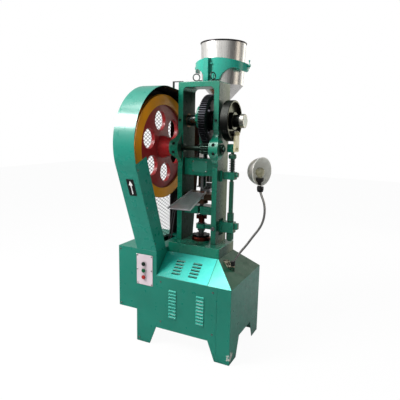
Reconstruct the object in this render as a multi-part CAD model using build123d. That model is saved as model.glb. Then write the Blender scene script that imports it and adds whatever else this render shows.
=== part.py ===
from build123d import *
import math
import os

# Single-punch tablet press on a sheet-metal cabinet.
# Frame: millimetres, +Z up, +X to the machine's right, front of the machine towards -Y,
# origin on the floor under the middle of the machine's outline. Dimensions below are laid out from the
# centre of the four feet, and every part is moved by the outline's centre when it is saved.

# ---------------------------------------------------------------- cabinet
CAB_X = 285.0
CAB_Y = 225.0
CAB_TOP = 410.0
SLOPE_TOP = 518.0
SHEET = 3.0
LEG_CUT_H = 108.0
LEG_FOOT_FRONT = 85.0
LEG_TOP_FRONT = 127.0
LEG_FOOT_SIDE = 95.0
LEG_TOP_SIDE = 136.0
PANEL_SEAM_X = 207.0
SLOPE_SEAM_X = 152.0

# pedestal that carries the press frame
PED_X0, PED_X1 = -155.0, 159.0
PED_Y0, PED_Y1 = -104.0, 108.0
PED_TOP = 574.0

# motor box on the left
BOX_X0, BOX_X1 = -405.0, -155.0
BOX_Z0, BOX_TOP = 190.0, 546.0

# ---------------------------------------------------------------- press frame
FRAME_Y0, FRAME_Y1 = -40.0, 108.0
FRAME_TOP = 1450.0
BEAM_H = 28.0
UP_L0, UP_L1 = -135.0, -105.0
UP_R0, UP_R1 = 77.0, 107.0
FRAME_CORNER_R = 24.0

# ---------------------------------------------------------------- drive train
RAM_X = -14.0
MAIN_Y, MAIN_Z = 34.0, 1248.0
GEAR_MODULE = 4.0
GEAR_TEETH = 68
PINION_TEETH = 14
CENTRES = GEAR_MODULE * (GEAR_TEETH + PINION_TEETH) / 2
PIN_Y = -34.0
PIN_Z = MAIN_Z - math.sqrt(CENTRES ** 2 - (MAIN_Y - PIN_Y) ** 2)
GEAR_X0, GEAR_X1 = 15.0, 55.0
ECC = 14.0
RUN = 0.05
MAIN_R = 30.0
PINION_SHAFT_R = 13.0
BUSH_WALL = 3.5
BOSS_R = 56.0
BOSS_L0, BOSS_L1 = -163.0, -110.0
BOSS_R0, BOSS_R1 = 73.0, 127.0
CAM_X0, CAM_X1 = 130.0, 171.0
CAM_R = 108.0
LOBE_TURN = 75.0

# flywheel and belt guard
FLY_X0, FLY_X1 = -274.0, -222.0
FLY_R = 288.0
FLY_RIM_R = 232.0
GUARD_X0, GUARD_X1 = -281.0, -157.0
GUARD_FRONT_C = (-121.0, 1120.0)
GUARD_FRONT_R = 303.0
GUARD_REAR_R = 315.0
GUARD_BASE_Y0, GUARD_BASE_Y1 = -225.0, 205.0
MOTOR_Y, MOTOR_Z = -20.0, 330.0
MOTOR_PULLEY_R = 48.0

# ---------------------------------------------------------------- press tooling
GUIDE_Y0, GUIDE_Y1 = -10.0, 82.0
GUIDE_Z0, GUIDE_Z1 = 948.0, 1043.0
HEAD_R = 27.0
RAM_R = 23.0
TABLE_Z0, TABLE_Z1 = 812.0, 846.0
BEAM_Z0, BEAM_Z1 = 729.0, 775.0
LEVER_X, LEVER_Z = 92.0, 664.0
ROD_X = 163.0
PUNCH_R = 8.0
PUNCH_FILL = 8.5

# ---------------------------------------------------------------- hopper
HOP_X, HOP_Y = 3.0, 240.0
HOP_R, HOP_JOIN_R = 129.5, 120.0
HOP_TOP, HOP_JOIN, HOP_OUT = 1685.0, 1452.0, 1347.0
HOP_SPOUT_R = 24.0

# middle of the outline seen from above: motor box to lamp neck, belt guard to hopper rim
LAMP_REACH = 393.27
HOP_RIM = 4.3
CENTRE_X = (BOX_X0 + LAMP_REACH) / 2
CENTRE_Y = (GUARD_FRONT_C[0] - GUARD_FRONT_R + HOP_Y + HOP_R + HOP_RIM) / 2


# ---------------------------------------------------------------- shape helpers
def block(x0, x1, y0, y1, z0, z1):
    return Pos((x0 + x1) / 2, (y0 + y1) / 2, (z0 + z1) / 2) * Box(x1 - x0, y1 - y0, z1 - z0)


def bar_x(r, x0, x1, y, z):
    return Pos((x0 + x1) / 2, y, z) * Rot(0, 90, 0) * Cylinder(r, x1 - x0)


def bar_y(r, y0, y1, x, z):
    return Pos(x, (y0 + y1) / 2, z) * Rot(90, 0, 0) * Cylinder(r, y1 - y0)


def bar_z(r, z0, z1, x, y):
    return Pos(x, y, (z0 + z1) / 2) * Cylinder(r, z1 - z0)


def hex_x(across, x0, x1, y, z):
    return Pos(x0, y, z) * extrude(Plane.YZ * RegularPolygon(across / 2, 6, major_radius=False), x1 - x0)


def hex_y(across, y0, y1, x, z):
    return Pos(x, y1, z) * extrude(Plane.XZ * RegularPolygon(across / 2, 6, major_radius=False), y1 - y0)


def hex_z(across, z0, z1, x, y):
    return Pos(x, y, z0) * extrude(RegularPolygon(across / 2, 6, major_radius=False), z1 - z0)


def side_prism(points, x0, x1):
    """Solid with a polygon outline in the YZ plane, between two X values."""
    outline = make_face(Polyline(*points, close=True))
    return Pos(x0, 0, 0) * extrude(Plane.YZ * outline, x1 - x0)


def front_prism(points, y0, y1):
    """Solid with a polygon outline in the XZ plane, between two Y values."""
    outline = make_face(Polyline(*points, close=True))
    return Pos(0, y1, 0) * extrude(Plane.XZ * outline, y1 - y0)


def revolve_x(points, y, z):
    """Ring or disc about an X axis through (y, z); points are (x, radius)."""
    outline = make_face(Polyline(*points, close=True))
    return Pos(0, y, z) * Rot(90, 0, 0) * revolve(outline, Axis.X)


def revolve_z(points, x, y):
    """Turned shape about a Z axis through (x, y); points are (radius, z)."""
    outline = make_face(Polyline(*[(r, z) for r, z in points], close=True))
    return Pos(x, y, 0) * revolve(Plane.XZ * outline, Axis.Z)


def group(solids):
    return Compound(children=[s for shape in solids for s in shape.solids()])


def soften(shape, radius, edges):
    """Fillet edges; keeps the sharp shape where the radius can't be made."""
    try:
        return fillet(edges, radius)
    except Exception:
        return shape


def save(name, shape):
    """Write one sub-part, moved so that the outline's centre is the origin."""
    solids = [Pos(-CENTRE_X, -CENTRE_Y, 0) * solid for solid in shape.solids()]
    export_step(solids[0] if len(solids) == 1 else Compound(children=solids), "parts/" + name + ".step")


# ---------------------------------------------------------------- fasteners on the sheet metal
def screw_front(x, y, z, head_r=4.5):
    """Pan-head screw on a face that looks to -Y at the given y."""
    return bar_y(head_r, y - 2.5, y, x, z) + bar_y(2.0, y, y + 2.0, x, z)


PANEL_SCREWS = [(-128.0, 380.0), (184.0, 380.0), (-128.0, 149.0), (184.0, 149.0), (-268.0, 22.0),
                (-392.0, 530.0), (-392.0, 206.0)]
PLATE_C = (-231.0, 430.0)
PLATE_W, PLATE_H = 103.0, 174.0
PLATE_SCREWS = [(PLATE_C[0] + sx * (PLATE_W / 2 - 6), PLATE_C[1] + dz)
                for sx in (-1, 1) for dz in (-80.0, 0.0, 80.0)]
NAME_C = (-11.0, 998.0)
NAME_W, NAME_H = 92.0, 62.0
NAME_SCREWS = [(NAME_C[0] + sx * (NAME_W / 2 - 6), NAME_C[1] + sz * (NAME_H / 2 - 6))
               for sx in (-1, 1) for sz in (-1, 1)]
BUTTONS = {"jog_button": (-234.0, 465.0), "run_button": (-234.0, 427.0), "stop_button": (-234.0, 389.0)}
FRONT_SHEET = 2.0


def screw_shanks(places, y, depth, r=2.0 + RUN):
    return [bar_y(r, y - 0.1, y + depth, x, z) for x, z in places]


# ---------------------------------------------------------------- cabinet
def cabinet_shell():
    outer = block(-CAB_X, CAB_X, -CAB_Y, CAB_Y, 0, CAB_TOP)
    inner = block(-CAB_X + SHEET, CAB_X - SHEET, -CAB_Y + FRONT_SHEET + SHEET, CAB_Y - SHEET, -1, CAB_TOP + 1)
    low = Pos(0, 0, CAB_TOP) * Rectangle(2 * CAB_X, 2 * CAB_Y)
    ped_w, ped_d = PED_X1 - PED_X0, PED_Y1 - PED_Y0
    ped_x, ped_y = (PED_X0 + PED_X1) / 2, (PED_Y0 + PED_Y1) / 2
    high = Pos(ped_x, ped_y, SLOPE_TOP) * Rectangle(ped_w, ped_d)
    cut_low = Pos(0, 0, CAB_TOP) * Rectangle(2 * (CAB_X - SHEET), 2 * (CAB_Y - SHEET))
    cut_high = Pos(ped_x, ped_y, SLOPE_TOP - SHEET) * Rectangle(ped_w - 2 * SHEET, ped_d - 2 * SHEET)
    hood = loft([low.face(), high.face()]) - loft([cut_low.face(), cut_high.face()])
    shell = outer - inner + hood
    # gaps between the legs, front to back and side to side
    front_cut = [(-CAB_X + LEG_FOOT_FRONT, -1), (-CAB_X + LEG_TOP_FRONT, LEG_CUT_H),
                 (CAB_X - LEG_TOP_FRONT, LEG_CUT_H), (CAB_X - LEG_FOOT_FRONT, -1)]
    side_cut = [(-CAB_Y + LEG_FOOT_SIDE, -1), (-CAB_Y + LEG_TOP_SIDE, LEG_CUT_H),
                (CAB_Y - LEG_TOP_SIDE, LEG_CUT_H), (CAB_Y - LEG_FOOT_SIDE, -1)]
    shell = shell - front_prism(front_cut, -CAB_Y - 1, CAB_Y + 1)
    shell = shell - side_prism(side_cut, -CAB_X - 1, CAB_X + 1)
    # room for the motor box and an opening behind the front panel
    shell = shell - block(-CAB_X - 1, BOX_X1, -CAB_Y - 1, CAB_Y + 1, BOX_Z0, SLOPE_TOP + 1)
    shell = shell - block(-CAB_X - 1, PANEL_SEAM_X, -CAB_Y - 1, -CAB_Y + FRONT_SHEET, -1, CAB_TOP - 2.0)
    shell = shell - block(-110, 165, -CAB_Y - 1, -CAB_Y + SHEET + 3, 165, 365)
    for x, y in ((-60.0, -172.0), (54.0, -172.0)):
        shell = shell - block(x - 30, x + 30, y - 38, y + 38, CAB_TOP + 5, SLOPE_TOP - 20)
    shell = shell - screw_shanks([(x, z) for x, z in PANEL_SCREWS if x > -CAB_X and z < CAB_TOP], -CAB_Y, 6)
    return shell


def louvre_front(x, z, w=44.0, h=10.0, lift=7.5):
    """Pressed louvre: a sloping hood open at its lower edge, on the front sheet."""
    hood = Pos(x - w / 2, -CAB_Y, z) * extrude(Plane.YZ * make_face(
        [Line((0, h / 2), (-lift, -h / 2)), Line((-lift, -h / 2), (0, -h / 2)),
         Line((0, -h / 2), (0, h / 2))]), w)
    slot = block(x - w / 2 + 2, x + w / 2 - 2, -CAB_Y - lift + 1.2, -CAB_Y + 3, z - h / 2 - 1, z - h / 2
                 + 3.5)
    return hood, slot


def front_panel():
    body = block(BOX_X0, -155.0, -CAB_Y, -CAB_Y + FRONT_SHEET, BOX_Z0, BOX_TOP)
    low = [(-CAB_X, 0), (-CAB_X + LEG_FOOT_FRONT, 0), (-CAB_X + LEG_TOP_FRONT, LEG_CUT_H),
           (CAB_X - LEG_TOP_FRONT, LEG_CUT_H), (CAB_X - LEG_FOOT_FRONT, 0), (PANEL_SEAM_X - 0.6, 0),
           (PANEL_SEAM_X - 0.6, CAB_TOP - 2.2), (-155.0, CAB_TOP - 2.2), (-CAB_X, CAB_TOP - 2.2)]
    body = body + front_prism(low, -CAB_Y, -CAB_Y + FRONT_SHEET)
    for x in (-54.0, 111.0):
        for i in range(9):
            hood, slot = louvre_front(x, 338.0 - 18.4 * i)
            body = body + hood - slot
    body = body - screw_shanks(PANEL_SCREWS + PLATE_SCREWS, -CAB_Y, 4)
    for x, z in BUTTONS.values():
        body = body - bar_y(13.0, -CAB_Y - 1, -CAB_Y + 3, x, z)
    return body


SLOPE_ANGLE = math.degrees(math.atan2(SLOPE_TOP - CAB_TOP, PED_Y0 + CAB_Y))
SLOPE_LEN = math.hypot(SLOPE_TOP - CAB_TOP, PED_Y0 + CAB_Y)


def slope_panel():
    """Louvred sheet on the front slope, from the motor box to the seam."""
    run = SLOPE_LEN - 1.5
    sheet = Pos((BOX_X1 + SLOPE_SEAM_X) / 2, run / 2 + 0.8, 1.0) * Box(SLOPE_SEAM_X - BOX_X1 - 0.6, run, 2.0)
    for x in (-47.0, 55.0):
        for i in range(5):
            along = 30.0 + 19.6 * i
            sheet = sheet - Pos(x, along, 0) * Box(52.0, 8.0, 8.0)
            lip = Pos(x, along + 4.5, 2.0) * Rot(22, 0, 0) * Box(52.0, 7.0, 1.4)
            sheet = sheet + lip
    return Pos(0, -CAB_Y, CAB_TOP) * Rot(SLOPE_ANGLE, 0, 0) * sheet


def motor_box():
    outer = block(BOX_X0, BOX_X1, -CAB_Y + FRONT_SHEET, CAB_Y, BOX_Z0, BOX_TOP)
    inner = block(BOX_X0 + SHEET, BOX_X1 - SHEET, -CAB_Y - 1, CAB_Y - SHEET, BOX_Z0 + SHEET, BOX_TOP - SHEET)
    box = outer - inner
    # belts rise through the top, the motor reaches into the cabinet through the right side
    box = box - block(FLY_X0 - 1, FLY_X1 + 1, -160, 112, BOX_TOP - 5, BOX_TOP + 1)
    box = box - bar_x(66.0, BOX_X1 - 5, BOX_X1 + 1, MOTOR_Y, MOTOR_Z)
    # return flanges that take the front panel's screws
    for x0, x1 in ((BOX_X0 + SHEET, BOX_X0 + 22), (BOX_X1 - 22, BOX_X1 - SHEET)):
        box = box + block(x0, x1, -CAB_Y + FRONT_SHEET, -CAB_Y + FRONT_SHEET + 3, BOX_Z0 + SHEET, BOX_TOP
                          - SHEET)
    return box - screw_shanks(PANEL_SCREWS, -CAB_Y, 6)


def control_plate():
    plate = block(PLATE_C[0] - PLATE_W / 2, PLATE_C[0] + PLATE_W / 2, -CAB_Y - 2, -CAB_Y,
                  PLATE_C[1] - PLATE_H / 2, PLATE_C[1] + PLATE_H / 2)
    for x, z in BUTTONS.values():
        bezel = bar_y(14.5, -CAB_Y - 6, -CAB_Y - 2, x, z)
        plate = plate + bezel - bar_y(11.0 + RUN * 2, -CAB_Y - 7, -CAB_Y + 1, x, z)
    return plate - screw_shanks(PLATE_SCREWS, -CAB_Y - 2, 4)


def push_button(x, z):
    cap = bar_y(11.0, -CAB_Y - 13, -CAB_Y + 2, x, z)
    cap = soften(cap, 1.6, cap.edges().sort_by(Axis.Y)[0])
    return cap + bar_y(5.0, -CAB_Y + 2, -CAB_Y + 22, x, z)


def panel_screws():
    screws = [screw_front(x, -CAB_Y, z) for x, z in PANEL_SCREWS]
    screws += [screw_front(x, -CAB_Y - 2, z, 3.5) for x, z in PLATE_SCREWS]
    screws += [screw_front(x, GUIDE_Y0 - 2, z, 3.5) for x, z in NAME_SCREWS]
    screws += [guard_screw(y, z) for y, z in GUARD_SCREWS]
    return group(screws)


# ---------------------------------------------------------------- pedestal and press frame
def pedestal():
    body = block(PED_X0, PED_X1, PED_Y0, PED_Y1, SLOPE_TOP, PED_TOP)
    body = soften(body, 6, body.edges().filter_by(Axis.Z))
    body = soften(body, 3, body.edges().group_by(Axis.Z)[-1])
    return body - block(PED_X0 + 30, PED_X1 - 30, PED_Y0 + 30, PED_Y1 - 30, SLOPE_TOP - 1, PED_TOP - 22)


def boss_flare(x0, x1, up0, up1):
    """Front view of a bearing boss that swells out of its upright in smooth shoulders."""
    high, low = BOSS_R + 20, 24.0
    edges = [Line((up0, PIN_Z + high), (up1, PIN_Z + high)), Line((up0, PIN_Z - high), (up1, PIN_Z - high)),
             Line((x0, PIN_Z - low), (x0, PIN_Z + low)), Line((x1, PIN_Z - low), (x1, PIN_Z + low))]
    for up, out in ((up0, x0), (up1, x1)):
        for s in (-1, 1):
            edges.append(Spline((up, PIN_Z + s * high), (out, PIN_Z + s * low), tangents=((0, -s), (0, -s))))
    return Pos(0, FRAME_Y0 + 28, 0) * extrude(Plane.XZ * make_face(edges), BOSS_R + 40)


def boss_side(x0, x1):
    """Side view: a round nose that runs out into the front of the upright."""
    nose = bar_x(BOSS_R, x0, x1, PIN_Y, PIN_Z)
    back = block(x0, x1, PIN_Y, FRAME_Y0 + 28, PIN_Z - BOSS_R, PIN_Z + BOSS_R)
    reach, top = 38.0, BOSS_R + 32
    side = math.sqrt(BOSS_R ** 2 - reach ** 2)
    fall = (-side / BOSS_R, reach / BOSS_R)
    edges = [Line((FRAME_Y0, PIN_Z - top), (FRAME_Y0, PIN_Z + top)),
             Line((PIN_Y - reach, PIN_Z - side), (PIN_Y - reach, PIN_Z + side))]
    for s in (-1, 1):
        edges.append(Spline((FRAME_Y0, PIN_Z + s * top), (PIN_Y - reach, PIN_Z + s * side),
                            tangents=((0, -s), (fall[0], -s * fall[1]))))
    run_out = Pos(x0, 0, 0) * extrude(Plane.YZ * make_face(edges), x1 - x0)
    return nose + back + run_out


def boss(x0, x1, up0, up1):
    return boss_side(x0, x1) & boss_flare(x0, x1, up0, up1)


def press_frame():
    outer = block(UP_L0, UP_R1, FRAME_Y0, FRAME_Y1, PED_TOP, FRAME_TOP)
    inner = block(UP_L1, UP_R0, FRAME_Y0 - 1, FRAME_Y1 + 1, PED_TOP - 1, FRAME_TOP - BEAM_H)
    inner = fillet(inner.edges().filter_by(Axis.Y).group_by(Axis.Z)[-1], FRAME_CORNER_R)
    outer = fillet(outer.edges().filter_by(Axis.Y).group_by(Axis.Z)[-1], 9)
    frame = outer - inner
    frame = soften(frame, 2.5, frame.edges().filter_by(Axis.Z).filter_by(lambda e: e.length > 500))
    frame = frame + boss(BOSS_L0, BOSS_L1, UP_L0, UP_L1) + boss(BOSS_R0, BOSS_R1, UP_R0, UP_R1)
    # front halves of the pinion bearings are separate caps
    frame = frame - block(BOSS_L0 - 5, BOSS_R1 + 5, -200, PIN_Y, PIN_Z - 100, PIN_Z + 100)
    frame = frame - bar_x(MAIN_R + 8, UP_L0 - 1, UP_R1 + 1, MAIN_Y, MAIN_Z)
    frame = frame - bar_x(PINION_SHAFT_R + BUSH_WALL, BOSS_L0 - 1, BOSS_R1 + 1, PIN_Y, PIN_Z)
    # window in the right upright for the lift lever, and the bore of its pivot pin
    frame = frame - block(UP_R0 - 1, UP_R1 + 1, 4, 64, LEVER_Z - 48, LEVER_Z + 46)
    frame = frame - bar_y(8.0 + 0.02, FRAME_Y0 - 1, FRAME_Y1 + 1, LEVER_X, LEVER_Z)
    for x, y in CAP_BOLT_PLACES:
        frame = frame - bar_y(CAP_BOLT_R + RUN, PIN_Y - 1, PIN_Y + 26, x, y)
    for x, y in BRACKET_BOLTS:
        frame = frame - bar_z(6.0 + RUN, FRAME_TOP - 20, FRAME_TOP + 1, x, y)
    for x, y, turn, lift in EYES:
        frame = frame - bar_z(5.0 + RUN, FRAME_TOP - 16, FRAME_TOP + 1, x, y)
    for x in OIL_CUPS:
        frame = frame - bar_y(4.0 + RUN, FRAME_Y0 - 1, MAIN_Y - MAIN_R, x, MAIN_Z)
    return frame


CAP_BOLT_R = 4.0
CAP_BOLT_PLACES = [(x, PIN_Z + dz) for x in ((BOSS_L0 + BOSS_L1) / 2, (BOSS_R0 + BOSS_R1) / 2)
                   for dz in (-23.0, 23.0)]
BRACKET_BOLTS = [(-64.0, 86.0), (28.0, 86.0)]
EYES = [(-57.0, 20.0, 25.0, 0.0), (42.0, 20.0, 70.0, 5.0)]
OIL_CUPS = [(UP_L0 + UP_L1) / 2, (UP_R0 + UP_R1) / 2]


def bearing_caps():
    caps = boss(BOSS_L0, BOSS_L1, UP_L0, UP_L1) + boss(BOSS_R0, BOSS_R1, UP_R0, UP_R1)
    caps = caps & block(BOSS_L0 - 5, BOSS_R1 + 5, -200, PIN_Y - 0.4, PIN_Z - 100, PIN_Z + 100)
    caps = caps - bar_x(PINION_SHAFT_R + BUSH_WALL, BOSS_L0 - 1, BOSS_R1 + 1, PIN_Y, PIN_Z)
    for x, z in CAP_BOLT_PLACES:
        caps = caps - bar_y(CAP_BOLT_R + RUN, -200, PIN_Y, x, z) - bar_y(9.0, -200, PIN_Y - 44, x, z)
    return group([caps])


def shaft_bushes():
    rings = []
    for x0, x1 in ((UP_L0, UP_L1), (UP_R0, UP_R1)):
        ring = bar_x(MAIN_R + 8, x0, x1, MAIN_Y, MAIN_Z)
        rings.append(ring - bar_x(MAIN_R + RUN, x0 - 1, x1 + 1, MAIN_Y, MAIN_Z))
    for x0, x1 in ((BOSS_L0, BOSS_L1), (BOSS_R0, BOSS_R1)):
        ring = bar_x(PINION_SHAFT_R + BUSH_WALL, x0, x1, PIN_Y, PIN_Z)
        rings.append(ring - bar_x(PINION_SHAFT_R + RUN, x0 - 1, x1 + 1, PIN_Y, PIN_Z))
    ram_ring = bar_z(HEAD_R + 7, GUIDE_Z0 - 4, GUIDE_Z0, RAM_X, MAIN_Y)
    rings.append(ram_ring - bar_z(RAM_R + RUN, GUIDE_Z0 - 5, GUIDE_Z0 + 1, RAM_X, MAIN_Y))
    return group(rings)


def cap_bolts():
    bolts = []
    for x, z in CAP_BOLT_PLACES:
        head = hex_y(13.0, PIN_Y - 51, PIN_Y - 44, x, z)
        bolts.append(head + bar_y(CAP_BOLT_R, PIN_Y - 44, PIN_Y + 24, x, z))
    for x, y in BRACKET_BOLTS:
        bolts.append(hex_z(18.0, FRAME_TOP + FOOT_H, FRAME_TOP + FOOT_H + 8, x, y)
                     + bar_z(6.0, FRAME_TOP - 18, FRAME_TOP + FOOT_H, x, y))
    for x in OIL_CUPS:
        bolts.append(bar_y(6.5, FRAME_Y0 - 7, FRAME_Y0, x, MAIN_Z)
                     + bar_y(4.0, FRAME_Y0, MAIN_Y - MAIN_R - 10, x, MAIN_Z))
    return group(bolts)


def eye_bolts():
    eyes = []
    for x, y, turn, lift in EYES:
        ring = Pos(x, y, FRAME_TOP + lift + 27) * Rot(0, 0, turn) * Rot(90, 0, 0) * Torus(18.0, 3.0)
        stem = bar_z(5.0, FRAME_TOP - 14, FRAME_TOP + lift + 9.5, x, y)
        stem = stem + bar_z(9.0, FRAME_TOP, FRAME_TOP + lift + 4, x, y)
        eyes.append(ring + stem)
    return group(eyes)


def ram_guide():
    body = block(UP_L1, UP_R0, GUIDE_Y0, GUIDE_Y1, GUIDE_Z0, GUIDE_Z1)
    body = soften(body, 4, body.edges().filter_by(Axis.X).group_by(Axis.Y)[0])
    body = body + bar_z(HEAD_R + 14, GUIDE_Z0 - 4, GUIDE_Z1, RAM_X, MAIN_Y)
    body = body - bar_z(HEAD_R + 7, GUIDE_Z0 - 5, GUIDE_Z0, RAM_X, MAIN_Y)
    body = body - bar_z(HEAD_R + RUN, GUIDE_Z0 - 1, GUIDE_Z1 + 20, RAM_X, MAIN_Y)
    body = body - block(RAM_X - 60, RAM_X - 45, GUIDE_Y0 + 18, GUIDE_Y1 + 1, GUIDE_Z0 - 1, GUIDE_Z1 - 20)
    return body - screw_shanks(NAME_SCREWS, GUIDE_Y0 - 2, 6)


def name_plate():
    plate = block(NAME_C[0] - NAME_W / 2, NAME_C[0] + NAME_W / 2, GUIDE_Y0 - 2, GUIDE_Y0,
                  NAME_C[1] - NAME_H / 2, NAME_C[1] + NAME_H / 2)
    return plate - screw_shanks(NAME_SCREWS, GUIDE_Y0 - 2, 4)


# ---------------------------------------------------------------- die table and lower guide
DIE_R = 20.0


def die_table():
    table = block(UP_L1, UP_R0, -8, 98, TABLE_Z0, TABLE_Z1)
    table = table + bar_z(34.0, TABLE_Z0 - 24, TABLE_Z0, RAM_X, MAIN_Y)
    table = table - bar_z(DIE_R, TABLE_Z0 - 2, TABLE_Z1 + 1, RAM_X, MAIN_Y)
    return table - bar_z(PUNCH_R + 4, TABLE_Z0 - 30, TABLE_Z1, RAM_X, MAIN_Y)


def die():
    body = bar_z(DIE_R, TABLE_Z0 - 2, TABLE_Z1 + 0.5, RAM_X, MAIN_Y)
    return body - bar_z(PUNCH_R + RUN, TABLE_Z0 - 3, TABLE_Z1 + 2, RAM_X, MAIN_Y)


def die_ring():
    ring = bar_z(DIE_R + 6, TABLE_Z1, TABLE_Z1 + 3, RAM_X, MAIN_Y)
    return ring - bar_z(DIE_R + 0.5, TABLE_Z1 - 1, TABLE_Z1 + 4, RAM_X, MAIN_Y)


def lower_guide():
    body = block(UP_L1, UP_R0, -6, 82, BEAM_Z0, BEAM_Z1)
    body = soften(body, 5, body.edges().filter_by(Axis.X).group_by(Axis.Y)[0])
    body = body - bar_z(10.0 + RUN, BEAM_Z0 - 1, BEAM_Z1 + 1, RAM_X, MAIN_Y)
    return body - block(RAM_X - 6.5, RAM_X + 6.5, -7, MAIN_Y - 6, BEAM_Z0 - 1, BEAM_Z1 + 1)


def discharge_tray():
    """Open chute, widening towards its front edge, turned a little and falling to the front."""
    front_w, back_w, long, drop = 126.0, 86.0, 274.0, 49.0
    sheet, front_wall, back_wall = 1.6, 7.0, 17.0
    pitch = math.degrees(math.atan2(drop, long))

    def plan(inset, extra):
        f, b = front_w / 2 - inset, back_w / 2 - inset
        return make_face(Polyline((-f, -long - extra), (f, -long - extra), (b, extra), (-b, extra),
                                  close=True))

    floor = extrude(plan(0, 0), sheet)
    walls = extrude(plan(0, 0), back_wall) - extrude(plan(sheet, 1), back_wall)
    walls = walls - side_prism([(-long - 1, front_wall), (1, back_wall), (1, 40), (-long - 1, 40)], -90, 90)
    lip = Pos(0, -long, 2.0) * Box(front_w, 3.0, 5.6)
    hook = block(RAM_X - 30, RAM_X + 30, -9.6, -8, TABLE_Z0 + 6, TABLE_Z1 + 6)
    return Pos(RAM_X + 1, -9, TABLE_Z1 + 5) * Rot(0, 0, 4.5) * Rot(pitch, 0, 0) * (floor + walls + lip) + hook


def feed_shoe():
    """Bottomless powder shoe that slides forward over the die."""
    y0, y1 = 62.0, 150.0
    shoe = block(RAM_X - 30, RAM_X + 30, y0, y1, TABLE_Z1 + 3.2, TABLE_Z1 + 19)
    shoe = soften(shoe, 8, shoe.edges().filter_by(Axis.Z))
    trough = block(RAM_X - 26, RAM_X + 26, y0 + 44, y1 - 4, TABLE_Z1 + 10, TABLE_Z1 + 44)
    shoe = shoe + trough
    cavity = block(RAM_X - 22, RAM_X + 22, y0 + 6, y0 + 40, TABLE_Z1 - 1, TABLE_Z1 + 15)
    bowl = block(RAM_X - 23, RAM_X + 23, y0 + 47, y1 - 7, TABLE_Z1 + 6, TABLE_Z1 + 50)
    link = block(RAM_X - 22, RAM_X + 22, y0 + 30, y0 + 60, TABLE_Z1 + 6, TABLE_Z1 + 15)
    return shoe - cavity - bowl - link


# ---------------------------------------------------------------- gear teeth
def involute_gear(teeth, module, x0, x1, bore, thin, addendum, turn):
    """Spur gear about an X axis through the origin with a tooth centred at angle turn (degrees)."""
    pitch_r = teeth * module / 2
    base_r = pitch_r * math.cos(math.radians(20))
    tip_r = pitch_r + addendum * module
    root_r = pitch_r - 1.25 * module

    def involute(r):
        a = math.acos(min(1.0, base_r / r))
        return math.tan(a) - a

    half_pitch = math.pi / (2 * teeth) - thin / pitch_r
    start_r = max(base_r, root_r)
    radii = [start_r + (tip_r - start_r) * k / 4 for k in range(5)]
    pitch_inv = involute(pitch_r)
    halves = [half_pitch + pitch_inv - involute(r) for r in radii]
    edges = []
    step = 2 * math.pi / teeth

    def polar(r, a):
        return (r * math.cos(a), r * math.sin(a))

    for i in range(teeth):
        mid = math.radians(turn) + i * step
        left = [polar(r, mid - h) for r, h in zip(radii, halves)]
        right = [polar(r, mid + h) for r, h in zip(radii, halves)]
        root_l = polar(root_r, mid - halves[0])
        root_r_pt = polar(root_r, mid + halves[0])
        if start_r > root_r + 1e-6:
            edges.append(Line(root_l, left[0]))
            edges.append(Line(right[0], root_r_pt))
        edges.append(Spline(*left))
        edges.append(ThreePointArc(left[-1], polar(tip_r, mid), right[-1]))
        edges.append(Spline(*right[::-1]))
        gap_mid = mid + step / 2
        next_root = polar(root_r, mid + step - halves[0])
        edges.append(ThreePointArc(root_r_pt, polar(root_r, gap_mid), next_root))
    face = make_face(edges)
    gear = Pos(x0, 0, 0) * extrude(Plane.YZ * face, x1 - x0)
    return gear - bar_x(bore, x0 - 1, x1 + 1, 0, 0)


LINE_ANGLE = math.degrees(math.atan2(PIN_Z - MAIN_Z, PIN_Y - MAIN_Y))


def main_gear():
    gear = involute_gear(GEAR_TEETH, GEAR_MODULE, GEAR_X0, GEAR_X1, MAIN_R, 0.12, 0.85, LINE_ANGLE)
    recess = revolve_x([(GEAR_X1 - 11, 52), (GEAR_X1 + 1, 52), (GEAR_X1 + 1, 112), (GEAR_X1 - 11, 112)], 0, 0)
    recess2 = revolve_x([(GEAR_X0 - 1, 52), (GEAR_X0 + 11, 52), (GEAR_X0 + 11, 112), (GEAR_X0 - 1, 112)], 0,
                        0)
    gear = gear - recess - recess2
    for i in range(4):
        a = math.radians(45 + 90 * i)
        gear = gear - bar_x(17, GEAR_X0 - 1, GEAR_X1 + 1, 82 * math.cos(a), 82 * math.sin(a))
    return Pos(0, MAIN_Y, MAIN_Z) * gear


def pinion_shaft():
    turn = LINE_ANGLE + 180 + 180 / PINION_TEETH
    pinion = involute_gear(PINION_TEETH, GEAR_MODULE, GEAR_X0 - 3, GEAR_X1 + 3, PINION_SHAFT_R - 2, 0.12,
                           0.85, turn)
    shaft = bar_x(PINION_SHAFT_R, FLY_X0 - 2, BOSS_R1 + 5, 0, 0)
    collar = bar_x(21.0, UP_L1 + 1, UP_L1 + 13, 0, 0)
    end = bar_x(26.0, BOSS_R1 + 1, BOSS_R1 + 8, 0, 0) + hex_x(24.0, BOSS_R1 + 8, BOSS_R1 + 18, 0, 0)
    return Pos(0, PIN_Y, PIN_Z) * (pinion + shaft + collar + end)


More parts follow.
